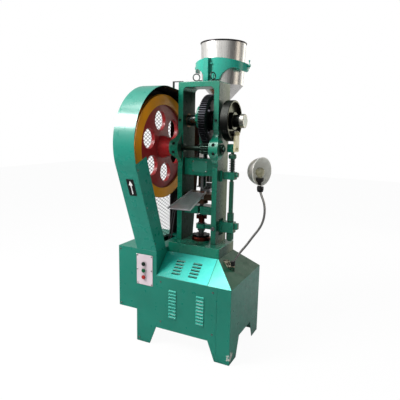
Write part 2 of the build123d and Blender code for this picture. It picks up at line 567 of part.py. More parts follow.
def flywheel():
    mid = (FLY_X0 + FLY_X1) / 2
    rim = [(FLY_X0, FLY_RIM_R), (FLY_X0, FLY_R - 2), (FLY_X0 + 2, FLY_R), (FLY_X1 - 2, FLY_R),
           (FLY_X1, FLY_R - 2),
           (FLY_X1, FLY_RIM_R)]
    wheel = revolve_x(rim, 0, 0)
    web = revolve_x([(mid - 8, 50), (mid + 14, 50), (mid + 14, FLY_RIM_R + 1), (mid - 8, FLY_RIM_R + 1)], 0,
                    0)
    hub = revolve_x([(FLY_X0, PINION_SHAFT_R + RUN), (FLY_X0, 48), (mid, 66), (FLY_X1 - 4, 62),
                     (BOSS_L0 - 22, 47),
                     (BOSS_L0 - 2, 45), (BOSS_L0 - 2, PINION_SHAFT_R + RUN)], 0, 0)
    wheel = wheel + web + hub
    for i in range(6):
        a = math.radians(41 + 60 * i)
        wheel = wheel - bar_x(55.0, FLY_X0 - 1, FLY_X1 + 1, 148 * math.cos(a), 148 * math.sin(a))
    for k in range(3):
        x = FLY_X0 + 12 + 14 * k
        groove = revolve_x([(x - 6, FLY_R + 1), (x + 6, FLY_R + 1), (x + 3.5, FLY_R - 9),
                            (x - 3.5, FLY_R - 9)], 0, 0)
        wheel = wheel - groove
    return Pos(0, PIN_Y, PIN_Z) * wheel


def motor_pulley():
    wheel = bar_x(MOTOR_PULLEY_R + 2, FLY_X0, FLY_X1 - 8, 0, 0)
    for k in range(3):
        x = FLY_X0 + 12 + 14 * k
        groove = revolve_x([(x - 6, MOTOR_PULLEY_R + 3), (x + 6, MOTOR_PULLEY_R + 3),
                            (x + 3.5, MOTOR_PULLEY_R - 9),
                            (x - 3.5, MOTOR_PULLEY_R - 9)], 0, 0)
        wheel = wheel - groove
    shaft = bar_x(9.0, FLY_X0 - 2, -196, 0, 0)
    return Pos(0, MOTOR_Y, MOTOR_Z) * (wheel + shaft)


def v_belts():
    """Belts on both pulleys, each lying in its groove with a little side clearance."""
    belts = []
    gap = 1.2
    for k in range(2):
        x = FLY_X0 + 12 + 14 * k
        rings = []
        for depth in (-0.5, 7.0):
            big = Pos(PIN_Y, PIN_Z) * Circle(FLY_R - depth)
            small = Pos(MOTOR_Y, MOTOR_Z) * Circle(MOTOR_PULLEY_R + 2 - depth)
            rings.append(make_hull(big.edges() + small.edges()))
        outline = rings[0] - rings[1]
        belts.append(Pos(x - 3.6 + gap / 2, 0, 0) * extrude(Plane.YZ * outline, 7.2 - gap))
    return group(belts)


def motor():
    body = bar_x(62.0, -195, -40, MOTOR_Y, MOTOR_Z) - bar_x(9.5, -200, -150, MOTOR_Y, MOTOR_Z)
    for i in range(12):
        body = body - Pos(0, MOTOR_Y, MOTOR_Z) * Rot(30 * i + 15, 0, 0) * Pos(-115, 0, 62) * Box(110, 7, 10)
    foot = block(-150, -75, MOTOR_Y - 62, MOTOR_Y + 62, MOTOR_Z - 74, MOTOR_Z - 58)
    shelf = block(BOX_X1, -50, MOTOR_Y - 90, MOTOR_Y + 90, MOTOR_Z - 80, MOTOR_Z - 74)
    return body + foot + shelf


# ---------------------------------------------------------------- main shaft group
STRAP_X0, STRAP_X1 = RAM_X - 18.0, RAM_X + 18.0
STRAP_BORE = 50.0
STRAP_R = 68.0


def main_shaft():
    shaft = bar_x(MAIN_R, UP_L0 - 8, CAM_X0 + 20, MAIN_Y, MAIN_Z)
    shaft = shaft + bar_x(26.0, CAM_X0 + 19, 228, MAIN_Y, MAIN_Z)
    eccentric = bar_x(STRAP_BORE, STRAP_X0 - 3, STRAP_X1 + 3, MAIN_Y, MAIN_Z + ECC)
    return shaft + eccentric


def cam_drum():
    """Face cam: a rim, a running face for the follower roller and a lobed island."""
    floor_x = CAM_X1 - 22
    drum = bar_x(CAM_R, CAM_X0, CAM_X1, 0, 0)
    drum = soften(drum, 3, drum.edges().group_by(Axis.X)[-1])
    pocket = revolve_x([(floor_x, 30), (CAM_X1 + 1, 30), (CAM_X1 + 1, CAM_R - 9), (floor_x, CAM_R - 9)], 0, 0)
    island = bar_x(45.5, floor_x - 1, CAM_X1, 0, 0)
    lobe = Rot(-LOBE_TURN, 0, 0) * Pos(0, 0, -11.5) * bar_x(40.0, floor_x - 1, CAM_X1, 0, 0)
    hub = bar_x(33.0, CAM_X1 - 1, 205, 0, 0)
    drum = drum - pocket + island + lobe + hub
    drum = drum - bar_x(MAIN_R, CAM_X0 - 1, CAM_X0 + 20, 0, 0) - bar_x(26.0, CAM_X0 + 19, 206, 0, 0)
    return Pos(0, MAIN_Y, MAIN_Z) * drum


def end_collar():
    collar = bar_x(37.0, 206, 228, 0, 0)
    collar = soften(collar, 3, collar.edges().group_by(Axis.X)[-1])
    collar = collar - bar_x(26.0, 205, 229, 0, 0) - block(205, 229, -1.5, 1.5, 0, 40)
    return Pos(0, MAIN_Y, MAIN_Z) * collar


# ---------------------------------------------------------------- connecting rod and ram
WRIST_Z = 1090.0
EYE_R = 21.0
STRAP_SPLIT = MAIN_Z + ECC


def connecting_rod():
    lower_half = block(-100, 100, -60, 130, 900, STRAP_SPLIT)
    strap = bar_x(STRAP_R, STRAP_X0, STRAP_X1, MAIN_Y, STRAP_SPLIT) & lower_half
    strap = strap + block(STRAP_X0 + 4, STRAP_X1 - 4, MAIN_Y - 80, MAIN_Y + 80, STRAP_SPLIT - 20, STRAP_SPLIT)
    shank = side_prism([(MAIN_Y - 38, STRAP_SPLIT - 50), (MAIN_Y + 38, STRAP_SPLIT - 50),
                        (MAIN_Y + 17, WRIST_Z),
                        (MAIN_Y - 17, WRIST_Z)], RAM_X - 10.5, RAM_X + 10.5)
    eye = bar_x(EYE_R, RAM_X - 10.5, RAM_X + 10.5, MAIN_Y, WRIST_Z)
    rod = strap + shank + eye
    rod = rod - bar_x(STRAP_BORE + RUN, STRAP_X0 - 1, STRAP_X1 + 1, MAIN_Y, STRAP_SPLIT)
    rod = rod - bar_x(12.0, RAM_X - 20, RAM_X + 20, MAIN_Y, WRIST_Z)
    for side in (-1, 1):
        rod = rod - bar_z(5.0, STRAP_SPLIT - 30, STRAP_SPLIT + 1, RAM_X, MAIN_Y + side * 74)
    return rod


def rod_cap():
    cap = bar_x(STRAP_R, STRAP_X0, STRAP_X1, MAIN_Y, STRAP_SPLIT)
    cap = cap & block(-100, 100, -60, 130, STRAP_SPLIT + 0.5, 1500)
    cap = cap + block(STRAP_X0 + 4, STRAP_X1 - 4, MAIN_Y - 80, MAIN_Y + 80, STRAP_SPLIT + 0.5, STRAP_SPLIT
                      + 18)
    cap = cap - bar_x(STRAP_BORE + RUN, STRAP_X0 - 1, STRAP_X1 + 1, MAIN_Y, STRAP_SPLIT)
    pieces = [cap]
    for side in (-1, 1):
        y = MAIN_Y + side * 74
        pieces[0] = pieces[0] - bar_z(5.0, STRAP_SPLIT, STRAP_SPLIT + 20, RAM_X, y)
        pieces.append(hex_z(15.0, STRAP_SPLIT + 18, STRAP_SPLIT + 25, RAM_X, y)
                      + bar_z(5.0, STRAP_SPLIT - 28, STRAP_SPLIT + 18, RAM_X, y))
    return group(pieces)


def ram():
    head = bar_z(HEAD_R, 988, 1118, RAM_X, MAIN_Y)
    slot = block(RAM_X - 12, RAM_X + 12, -10, 80, 1030, 1120)
    rod = bar_z(RAM_R, 884, 990, RAM_X, MAIN_Y)
    body = head - slot + rod
    body = body - bar_x(9.0, RAM_X - 40, RAM_X + 40, MAIN_Y, WRIST_Z)
    return body - bar_z(10.0, 880, 915, RAM_X, MAIN_Y)


def wrist_pins():
    """The wrist pin's two ends, seated in the cheeks of the ram head."""
    ends = [bar_x(9.0, RAM_X + side * 19.5 - 7.5, RAM_X + side * 19.5 + 7.5, MAIN_Y,
                  WRIST_Z) for side in (-1, 1)]
    head = bar_z(HEAD_R, 1060, 1118, RAM_X, MAIN_Y)
    return group([e & head for e in ends])


def upper_punch():
    holder = revolve_z([(0, 912), (10, 912), (10, 884), (17, 884), (17, 877), (15, 875.5), (PUNCH_R, 875.5),
                        (PUNCH_R, 868), (0, 868)], RAM_X, MAIN_Y)
    knob = bar_x(2.5, RAM_X - 26, RAM_X - 15, MAIN_Y, 880) + Pos(RAM_X - 29, MAIN_Y, 880) * Sphere(5.0)
    return holder + knob


# ---------------------------------------------------------------- lift rod, spring and lever
ROLLER_Z = MAIN_Z - 66.0
ROLLER_R = 14.0
BRACKET_Z0, BRACKET_Z1 = 935.0, 975.0
SPRING_TOP = 1047.0


def lift_rod():
    rod = bar_z(9.0, 920, 1082, ROD_X, MAIN_Y)
    seat = revolve_z([(9, SPRING_TOP), (19, SPRING_TOP), (22, SPRING_TOP + 7), (22, SPRING_TOP + 18),
                      (17, SPRING_TOP + 26), (9, SPRING_TOP + 26)], ROD_X, MAIN_Y)
    lower = bar_z(12.5, 747, 922, ROD_X, MAIN_Y)
    coupling = bar_z(18.5, 703, 748, ROD_X, MAIN_Y)
    tail = bar_z(13.0, 590, 704, ROD_X, MAIN_Y)
    nut = hex_z(38.0, 598, 633, ROD_X, MAIN_Y)
    return rod + seat + lower + coupling + tail + nut


def lift_block():
    body = block(138, 177, 14, 54, 1082, 1126)
    body = soften(body, 5, body.edges().filter_by(Axis.Y))
    return body - bar_x(6.0, 150, 180, MAIN_Y, 1100) + bar_y(9.0, 8, 14, ROD_X - 4, 1104)


def follower_plate():
    plate = block(178, 187, 4, 64, 1084, 1172)
    plate = soften(plate, 6, plate.edges().filter_by(Axis.X))
    lug = bar_x(15.0, 178, 187, MAIN_Y, ROLLER_Z) + block(178, 187, MAIN_Y - 15, MAIN_Y + 15, 1150, ROLLER_Z)
    pin = bar_x(7.0, 151, 178, MAIN_Y, ROLLER_Z)
    head = bar_x(12.0, 187, 193, MAIN_Y, ROLLER_Z) + hex_x(15.0, 193, 199, MAIN_Y, ROLLER_Z)
    spacer = bar_x(10.0, 177, 178, MAIN_Y, 1100)
    bolt = hex_x(15.0, 187, 194, MAIN_Y, 1100) + bar_x(6.0, 151, 187, MAIN_Y, 1100)
    return plate + lug + pin + head + spacer + bolt


def cam_roller():
    ring = bar_x(ROLLER_R, 152, 172, MAIN_Y, ROLLER_Z)
    return ring - bar_x(7.0 + RUN, 150, 180, MAIN_Y, ROLLER_Z)


def lift_spring():
    z0, z1 = BRACKET_Z1 + 0.6, SPRING_TOP - 0.6
    wire, mean = 2.4, 13.6
    turns = 7
    height = z1 - z0 - 2 * wire
    path = Helix(pitch=height / turns, height=height, radius=mean)
    section = Plane(origin=path @ 0, z_dir=path % 0) * Circle(wire)
    coil = sweep(section, path=path, is_frenet=True)
    return Pos(ROD_X, MAIN_Y, z0 + wire) * coil


def rod_bracket():
    arm = block(UP_R1, 186, 14, 54, BRACKET_Z0, BRACKET_Z1)
    arm = arm + bar_z(24.0, BRACKET_Z0, BRACKET_Z1, ROD_X, MAIN_Y)
    arm = arm + block(UP_R1, UP_R1 + 14, 0, 68, BRACKET_Z0 - 12, BRACKET_Z1 + 8)
    arm = arm - bar_z(9.0 + RUN, BRACKET_Z0 - 1, BRACKET_Z1 + 1, ROD_X, MAIN_Y)
    return arm + bar_x(13.0, 186, 200, MAIN_Y, 961)


def lift_lever():
    ring_z0, ring_z1 = 641.0, 667.0
    hub = bar_y(30.0, 9, 59, LEVER_X, LEVER_Z)
    right = block(LEVER_X, 188, 12, 56, 638, 698)
    end = block(188, 209, 22, 46, 659, 693)
    left = block(RAM_X + 15, LEVER_X, 22, 46, ring_z0, ring_z1)
    ring = bar_z(31.0, ring_z0, ring_z1, RAM_X, MAIN_Y)
    lever = right + end + left + ring + hub
    lever = lever & block(-100, 210, 9, 65, 637, 699)
    lever = lever - bar_z(18.5, ring_z0 - 1, ring_z1 + 1, RAM_X, MAIN_Y)
    lever = lever - bar_z(17.0, 630, 700, ROD_X, MAIN_Y)
    return lever - bar_y(8.0 + RUN, 0, 70, LEVER_X, LEVER_Z)


def lever_pin():
    pin = bar_y(8.0, FRAME_Y0, FRAME_Y1, LEVER_X, LEVER_Z)
    return pin + hex_y(20.0, FRAME_Y0 - 8, FRAME_Y0, LEVER_X, LEVER_Z)


# ---------------------------------------------------------------- lower punch column
def lower_punch():
    """Column, collars and punch in one, drawn in the filling position."""
    column = bar_z(16.0, 588, 671, RAM_X, MAIN_Y) + bar_z(10.0, 671, 792, RAM_X, MAIN_Y)
    punch = bar_z(PUNCH_R, 792, TABLE_Z1 - PUNCH_FILL, RAM_X, MAIN_Y)
    lower_collar = bar_z(22.0, 628, 638.5, RAM_X, MAIN_Y)
    upper_collar = bar_z(22.0, 669.5, 674, RAM_X, MAIN_Y)
    return column + punch + lower_collar + upper_collar


def star_wheel(z0, z1, r, lobes, bore, notch):
    wheel = bar_z(r, z0, z1, RAM_X, MAIN_Y)
    for i in range(lobes):
        a = math.radians(360.0 / lobes * (i + 0.5))
        x, y = RAM_X + (r + 1) * math.cos(a), MAIN_Y + (r + 1) * math.sin(a)
        wheel = wheel - bar_z(notch, z0 - 1, z1 + 1, x, y)
    return wheel - bar_z(bore, z0 - 1, z1 + 1, RAM_X, MAIN_Y)


def fill_star():
    wheel = star_wheel(698, 718, 31.0, 8, 10.0 + RUN, 7.0)
    hub = bar_z(17.0, 674.2, 698, RAM_X, MAIN_Y) - bar_z(10.0 + RUN, 674, 699, RAM_X, MAIN_Y)
    return wheel + hub


def eject_star():
    return star_wheel(594.5, 605.5, 50.0, 8, 16.0 + 4, 9.0)


def base_flange():
    ring = revolve_z([(0, PED_TOP), (54, PED_TOP), (54, PED_TOP + 14), (49, PED_TOP + 20),
                      (19.9, PED_TOP + 20),
                      (19.9, PED_TOP + 30), (16.1, PED_TOP + 30), (16.1, PED_TOP + 10), (0, PED_TOP + 10)],
                     RAM_X, MAIN_Y)
    return ring


# ---------------------------------------------------------------- hopper group
def hopper():
    """Slightly tapered drum over a cone, with a rolled rim and a short spout."""
    wall = 1.5
    outer = [(HOP_SPOUT_R, HOP_OUT - 30), (HOP_SPOUT_R, HOP_OUT), (HOP_JOIN_R, HOP_JOIN), (HOP_R, HOP_TOP),
             (HOP_R - wall, HOP_TOP), (HOP_JOIN_R - wall, HOP_JOIN + 0.7),
             (HOP_SPOUT_R - wall, HOP_OUT + 0.7),
             (HOP_SPOUT_R - wall, HOP_OUT - 30)]
    bowl = revolve_z(outer, HOP_X, HOP_Y)
    rim = Pos(HOP_X, HOP_Y, HOP_TOP) * Torus(HOP_R + 0.5, HOP_RIM - 0.5)
    return bowl + rim


def hopper_radius(z):
    """Outer radius of the drum at height z."""
    return HOP_JOIN_R + (HOP_R - HOP_JOIN_R) * (z - HOP_JOIN) / (HOP_TOP - HOP_JOIN)


RING_IN, RING_OUT = 146.0, 159.0
RING_TOP = 1587.0
FOOT_H = 11.0


def hopper_bracket():
    """Half ring on a ribbed post: its lower edge arches up beside the post, its ends are round."""
    tip, nose = 144.0, 21.0
    low, high = 1523.0, 1571.0
    edges = [Line((-40, RING_TOP), (40, RING_TOP)), Line((-42, 1472), (42, 1472))]
    for s in (-1, 1):
        edges.append(Spline((s * 40, RING_TOP), (s * 90, 1582), (s * tip, high),
                            tangents=((s, 0), (s, -0.3))))
        edges.append(ThreePointArc((s * tip, high), (s * (tip + nose), (low + high) / 2), (s * tip, low)))
        edges.append(Spline((s * tip, low), (s * 106, 1536), (s * 66, 1512), (s * 42, 1472)))
    front = Pos(HOP_X, HOP_Y, 0) * extrude(Plane.XZ * make_face(edges), 190)
    band = bar_z(RING_OUT, 1460, RING_TOP + 5, HOP_X, HOP_Y)
    band = band - bar_z(RING_IN, 1450, RING_TOP + 9, HOP_X, HOP_Y)
    half = band & front
    rib = block(-38, -10, 62, 100, FRAME_TOP, RING_TOP - 2) - bar_z(RING_IN, 1400, 1700, HOP_X, HOP_Y)
    post = block(-11, 16, 78, 100, FRAME_TOP, 1500) - bar_z(RING_IN, 1400, 1700, HOP_X, HOP_Y)
    groove = block(-10, 6.5, 60, HOP_Y - RING_OUT + 7, FRAME_TOP + 24, RING_TOP + 5)
    foot = block(-76, 42, 66, 101, FRAME_TOP, FRAME_TOP + FOOT_H)
    bracket = half + post - groove + rib + foot
    for x, y in BRACKET_BOLTS:
        bracket = bracket - bar_z(6.0 + RUN, FRAME_TOP - 1, FRAME_TOP + 15, x, y)
    for turn in (-85.0, 0.0, 85.0):
        bracket = bracket + clamp_screw(turn)
    return bracket


def clamp_screw(turn):
    """Radial set screw with a ball-ended tommy bar; turn 0 is the front of the ring."""
    z = 1556.0
    tip, tail = hopper_radius(z + 5) + RUN, RING_OUT + 8
    shank = Pos(0, -(tip + tail) / 2, 0) * Rot(90, 0, 0) * Cylinder(5.0, tail - tip)
    if turn == 0.0:
        return Pos(HOP_X, HOP_Y, z) * shank
    bar = Pos(0, -RING_OUT - 8, 4) * Cylinder(2.2, 40) + Pos(0, -RING_OUT - 8, 26) * Sphere(5.0)
    head = Pos(0, -RING_OUT - 8, 0) * Rot(90, 0, 0) * Cylinder(8.0, 12)
    return Pos(HOP_X, HOP_Y, z) * Rot(0, 0, turn) * (shank + bar + head)


def feed_tube():
    """Chute from the hopper spout down behind the frame to the feed shoe's bowl."""
    x_end, y_end = RAM_X + 2, 132.0
    bend = (HOP_X, HOP_Y, 1120.0)
    line = Line((HOP_X, HOP_Y, HOP_OUT - 6), bend)
    line = line + Spline(bend, (x_end, y_end, 950.0), (x_end, y_end, 897.0),
                         tangents=((0, 0, -1), (0, 0, -1)))
    start = Plane(origin=line @ 0, z_dir=line % 0)
    outside = sweep(start * Circle(HOP_SPOUT_R - 1.55), path=line)
    return outside - sweep(start * Circle(HOP_SPOUT_R - 3.2), path=line)


# ---------------------------------------------------------------- belt guard
GUARD_SCREWS = [(-409.5, 1000.0), (-250.0, 590.0), (-330.0, 800.0)]
GUARD_SHEET = 2.0


def guard_outline(inset):
    """Hull of the front arc, the rear arc about the flywheel and the base on the motor box."""
    front = Pos(*GUARD_FRONT_C) * Circle(GUARD_FRONT_R - inset)
    rear = Pos(PIN_Y, PIN_Z) * Circle(GUARD_REAR_R - inset)
    base = Line((GUARD_BASE_Y0 + inset, BOX_TOP), (GUARD_BASE_Y1 - inset, BOX_TOP))
    return make_hull(front.edges() + rear.edges() + [base.edge()])


def guard_prism(inset, x0, x1):
    return Pos(x0, 0, 0) * extrude(Plane.YZ * guard_outline(inset), x1 - x0)


def guard_front_y(z):
    """Y of the guard's straight front edge at height z."""
    dy, dz = GUARD_FRONT_C[0] - GUARD_BASE_Y0, GUARD_FRONT_C[1] - BOX_TOP
    lean = math.atan2(dy, dz) - math.asin(GUARD_FRONT_R / math.hypot(dy, dz))
    return GUARD_BASE_Y0 + math.tan(lean) * (z - BOX_TOP)


def guard_shell():
    band = guard_prism(0, GUARD_X0, GUARD_X1) - guard_prism(GUARD_SHEET, GUARD_X0 - 1, GUARD_X1 + 1)
    z_top = 1045.0
    strip = side_prism([(guard_front_y(BOX_TOP) + 1, BOX_TOP), (guard_front_y(BOX_TOP) + 100, BOX_TOP),
                        (guard_front_y(z_top) + 98, z_top + 18), (guard_front_y(z_top) + 1, z_top - 20)],
                       GUARD_X1 - 2.0, GUARD_X1)
    rear_flange = guard_prism(0, GUARD_X0, GUARD_X0 + 2) - guard_prism(20, GUARD_X0 - 1, GUARD_X0 + 3)
    shell = band + strip + rear_flange
    for y, z in GUARD_SCREWS:
        shell = shell - bar_x(2.0 + RUN, GUARD_X1 - 5, GUARD_X1 + 1, y + 16, z)
    return shell


def guard_screw(y, z):
    head = bar_x(4.5, GUARD_X1, GUARD_X1 + 2.5, y + 16, z)
    return head + bar_x(2.0, GUARD_X1 - 2, GUARD_X1, y + 16, z)


def guard_back():
    """Perforated sheet that closes the guard's left side."""
    x0, x1 = GUARD_X0 + 2.2, GUARD_X0 + 3.4
    return guard_prism(GUARD_SHEET + 0.3, x0, x1)


def guard_stay():
    """Bent strap from the frame's top to the top of the belt guard."""
    flat = block(-172, -112, -38, -22, FRAME_TOP, FRAME_TOP + 4)
    return flat + block(-172, -168, -38, -22, 1416.2, FRAME_TOP + 4)


# ---------------------------------------------------------------- work lamp
LAMP_X, LAMP_Y = 226.0, -66.0
LAMP_FOOT_X = 190.0
SHADE_C = (363.0, -65.0, 999.0)
SHADE_R = 71.0
SHADE_YAW = -23.0
YAW_COS, YAW_SIN = math.cos(math.radians(SHADE_YAW)), math.sin(math.radians(SHADE_YAW))
TILT_C = (SHADE_C[0] - 6 * YAW_COS, SHADE_C[1] - 6 * YAW_SIN, 903.0)
HOLDER_X, HOLDER_Y = SHADE_C[0] - 12.5 * YAW_COS, SHADE_C[1] - 12.5 * YAW_SIN
BALL_R = 11.0
STEM_R = 9.0


def slope_z(x):
    """Height of the right slope at x."""
    return CAB_TOP + (CAB_X - x) / (CAB_X - PED_X1) * (SLOPE_TOP - CAB_TOP)


SWIVEL_Z = slope_z(LAMP_X) + 24.0


def lamp_base():
    """Foot on the right slope: a disc, a squat boss and an arm that ends in the swivel stub."""
    lean = math.degrees(math.atan2(SLOPE_TOP - CAB_TOP, CAB_X - PED_X1))
    place = Pos(208.0, LAMP_Y, slope_z(208.0)) * Rot(0, lean, 0)
    disc = place * Cylinder(27, 5, align=(Align.CENTER, Align.CENTER, Align.MIN))
    sunk = place * Cylinder(90, 90, align=(Align.CENTER, Align.CENTER, Align.MAX))
    lump = bar_z(19, slope_z(LAMP_FOOT_X) - 25, slope_z(LAMP_FOOT_X) + 15, LAMP_FOOT_X, LAMP_Y)
    lump = soften(lump, 5, lump.edges().group_by(Axis.Z)[-1])
    arm = block(LAMP_FOOT_X, LAMP_X, LAMP_Y - 7, LAMP_Y + 7, SWIVEL_Z - 20, SWIVEL_Z - 6)
    stub = bar_z(11, slope_z(LAMP_X) - 25, SWIVEL_Z, LAMP_X, LAMP_Y)
    return disc + (lump + arm + stub - sunk)


def lamp_neck():
    """Swivel body and gooseneck, ending in a ball."""
    knob = bar_z(12.5, SWIVEL_Z + 0.1, SWIVEL_Z + 26, LAMP_X, LAMP_Y)
    knob = soften(knob, 3, knob.edges().group_by(Axis.Z)[-1])
    points = [(LAMP_X + 2, LAMP_Y, SWIVEL_Z + 20), (258.0, LAMP_Y, 554.0), (296.0, LAMP_Y, 606.0),
              (332.0, LAMP_Y, 660.0), (369.0, LAMP_Y, 717.0), (387.0, LAMP_Y, 786.0),
              (380.0, -65.0, 845.0), TILT_C]
    line = Spline(*points, tangents=((0.55, 0, 0.83), (-0.22, 0, 0.97)))
    tube = sweep(Plane(origin=line @ 0, z_dir=line % 0) * Circle(6.0), path=line)
    return knob + tube + Pos(*TILT_C) * Sphere(BALL_R)


def lamp_frame(shape):
    """Place a shape drawn about +Z (the light's direction) at the lamp head."""
    return Pos(*SHADE_C) * Rot(0, 0, SHADE_YAW) * Rot(0, 90, 0) * shape


def lamp_shade():
    """Deep bowl of one sheet with a hole in its lower wall for the stem."""
    depth, wall = 68.0, 1.5

    def curve(inset):
        return Spline((SHADE_R - inset, 0), (SHADE_R - 2 - inset, -15 + inset * 0.3),
                      (SHADE_R - 8 - inset, -33 + inset * 0.5),
                      (52 - inset * 0.8, -51 + inset * 0.7), (34 - inset * 0.5, -64 + inset),
                      (0, -depth + inset))

    edges = [curve(0), curve(wall), Line((SHADE_R - wall, 0), (SHADE_R, 0)),
             Line((0, -depth), (0, -depth + wall))]
    bowl = lamp_frame(revolve(Plane.XZ * make_face(edges), Axis.Z))
    rim = lamp_frame(Torus(SHADE_R, 1.6))
    return bowl + rim - bar_z(STEM_R + RUN, 900, 950, HOLDER_X, HOLDER_Y)


def lamp_socket():
    """Ball housing under the shade, stem through its wall and the bulb holder inside."""
    x, y, z = TILT_C
    housing = Pos(x, y, z - 1) * Cone(14.0, 17.0, 12.0) + Pos(x, y, z + 12.5) * Cylinder(17.0, 15.0)
    housing = housing - Pos(*TILT_C) * Sphere(BALL_R + RUN) - Pos(x, y, z - 3.5) * Cone(10.9, 0.01, 7.0)
    top = z + 20.0
    stem = bar_z(STEM_R, top - 1, 944, HOLDER_X, HOLDER_Y)
    holder = revolve_z([(0, 941), (9, 941), (19, 951), (20, 954), (20, 967), (0, 967)], HOLDER_X, HOLDER_Y)
    return housing + stem + holder


def lamp_bulb():
    return Pos(HOLDER_X, HOLDER_Y, 995) * Sphere(24.5) + bar_z(13.0, 967, 978, HOLDER_X, HOLDER_Y)


def main():
    os.makedirs("parts", exist_ok=True)
    save("cabinet_shell", cabinet_shell())
    save("front_panel", front_panel())
    save("slope_panel", slope_panel())
    save("motor_box", motor_box())
    save("control_plate", control_plate())
    for name, (x, z) in BUTTONS.items():
        save(name, push_button(x, z))
    save("panel_screws", panel_screws())
    save("pedestal", pedestal())
    save("press_frame", press_frame())
    save("bearing_caps", bearing_caps())
    save("shaft_bushes", shaft_bushes())
    save("cap_bolts", cap_bolts())
    save("eye_bolts", eye_bolts())
    save("ram_guide", ram_guide())
    save("name_plate", name_plate())
    save("die_table", die_table())
    save("die", die())
    save("die_ring", die_ring())
    save("lower_guide", lower_guide())
    save("discharge_tray", discharge_tray())
    save("feed_shoe", feed_shoe())
    save("main_gear", main_gear())
    save("pinion_shaft", pinion_shaft())
    save("flywheel", flywheel())
    save("motor_pulley", motor_pulley())
    save("v_belts", v_belts())
    save("motor", motor())
    save("main_shaft", main_shaft())
    save("cam_drum", cam_drum())
    save("end_collar", end_collar())
    save("connecting_rod", connecting_rod())
    save("rod_cap", rod_cap())
    save("ram", ram())
    save("wrist_pins", wrist_pins())
    save("upper_punch", upper_punch())
    save("lift_rod", lift_rod())
    save("lift_block", lift_block())
    save("follower_plate", follower_plate())
    save("cam_roller", cam_roller())
    save("lift_spring", lift_spring())
    save("rod_bracket", rod_bracket())
    save("lift_lever", lift_lever())
    save("lever_pin", lever_pin())
    save("lower_punch", lower_punch())
    save("fill_star", fill_star())
    save("eject_star", eject_star())
    save("base_flange", base_flange())
    save("hopper", hopper())
    save("hopper_bracket", hopper_bracket())
    save("feed_tube", feed_tube())
    save("guard_shell", guard_shell())
    save("guard_back", guard_back())
    save("guard_stay", guard_stay())
    save("lamp_base", lamp_base())
    save("lamp_neck", lamp_neck())
    save("lamp_shade", lamp_shade())
    save("lamp_socket", lamp_socket())
    save("lamp_bulb", lamp_bulb())


main()
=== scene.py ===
import math

import bmesh
import bpy
from mathutils import Matrix, Vector


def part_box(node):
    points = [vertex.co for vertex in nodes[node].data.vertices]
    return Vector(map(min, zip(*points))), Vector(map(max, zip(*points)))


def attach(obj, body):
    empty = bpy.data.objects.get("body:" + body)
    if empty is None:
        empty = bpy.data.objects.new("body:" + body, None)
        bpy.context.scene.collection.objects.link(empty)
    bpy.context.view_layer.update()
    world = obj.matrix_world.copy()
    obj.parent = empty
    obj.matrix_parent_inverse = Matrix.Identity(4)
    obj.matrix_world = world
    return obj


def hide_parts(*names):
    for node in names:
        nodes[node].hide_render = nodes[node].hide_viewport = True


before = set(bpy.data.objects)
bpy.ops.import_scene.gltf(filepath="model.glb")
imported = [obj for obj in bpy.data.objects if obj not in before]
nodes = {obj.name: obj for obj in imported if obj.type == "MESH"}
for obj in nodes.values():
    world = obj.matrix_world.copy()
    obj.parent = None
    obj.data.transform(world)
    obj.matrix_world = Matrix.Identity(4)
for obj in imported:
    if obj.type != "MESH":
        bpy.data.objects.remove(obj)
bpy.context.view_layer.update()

# The drawing's origin is the centre of the four feet; the row frame is moved by this much.
SHIFT = Vector((0.005865, 0.0251, 0.0))
MM = 0.001


def at(x, y, z):
    """A point of the machine drawing, in millimetres, in the row frame."""
    return Vector((x * MM, y * MM, z * MM)) + SHIFT


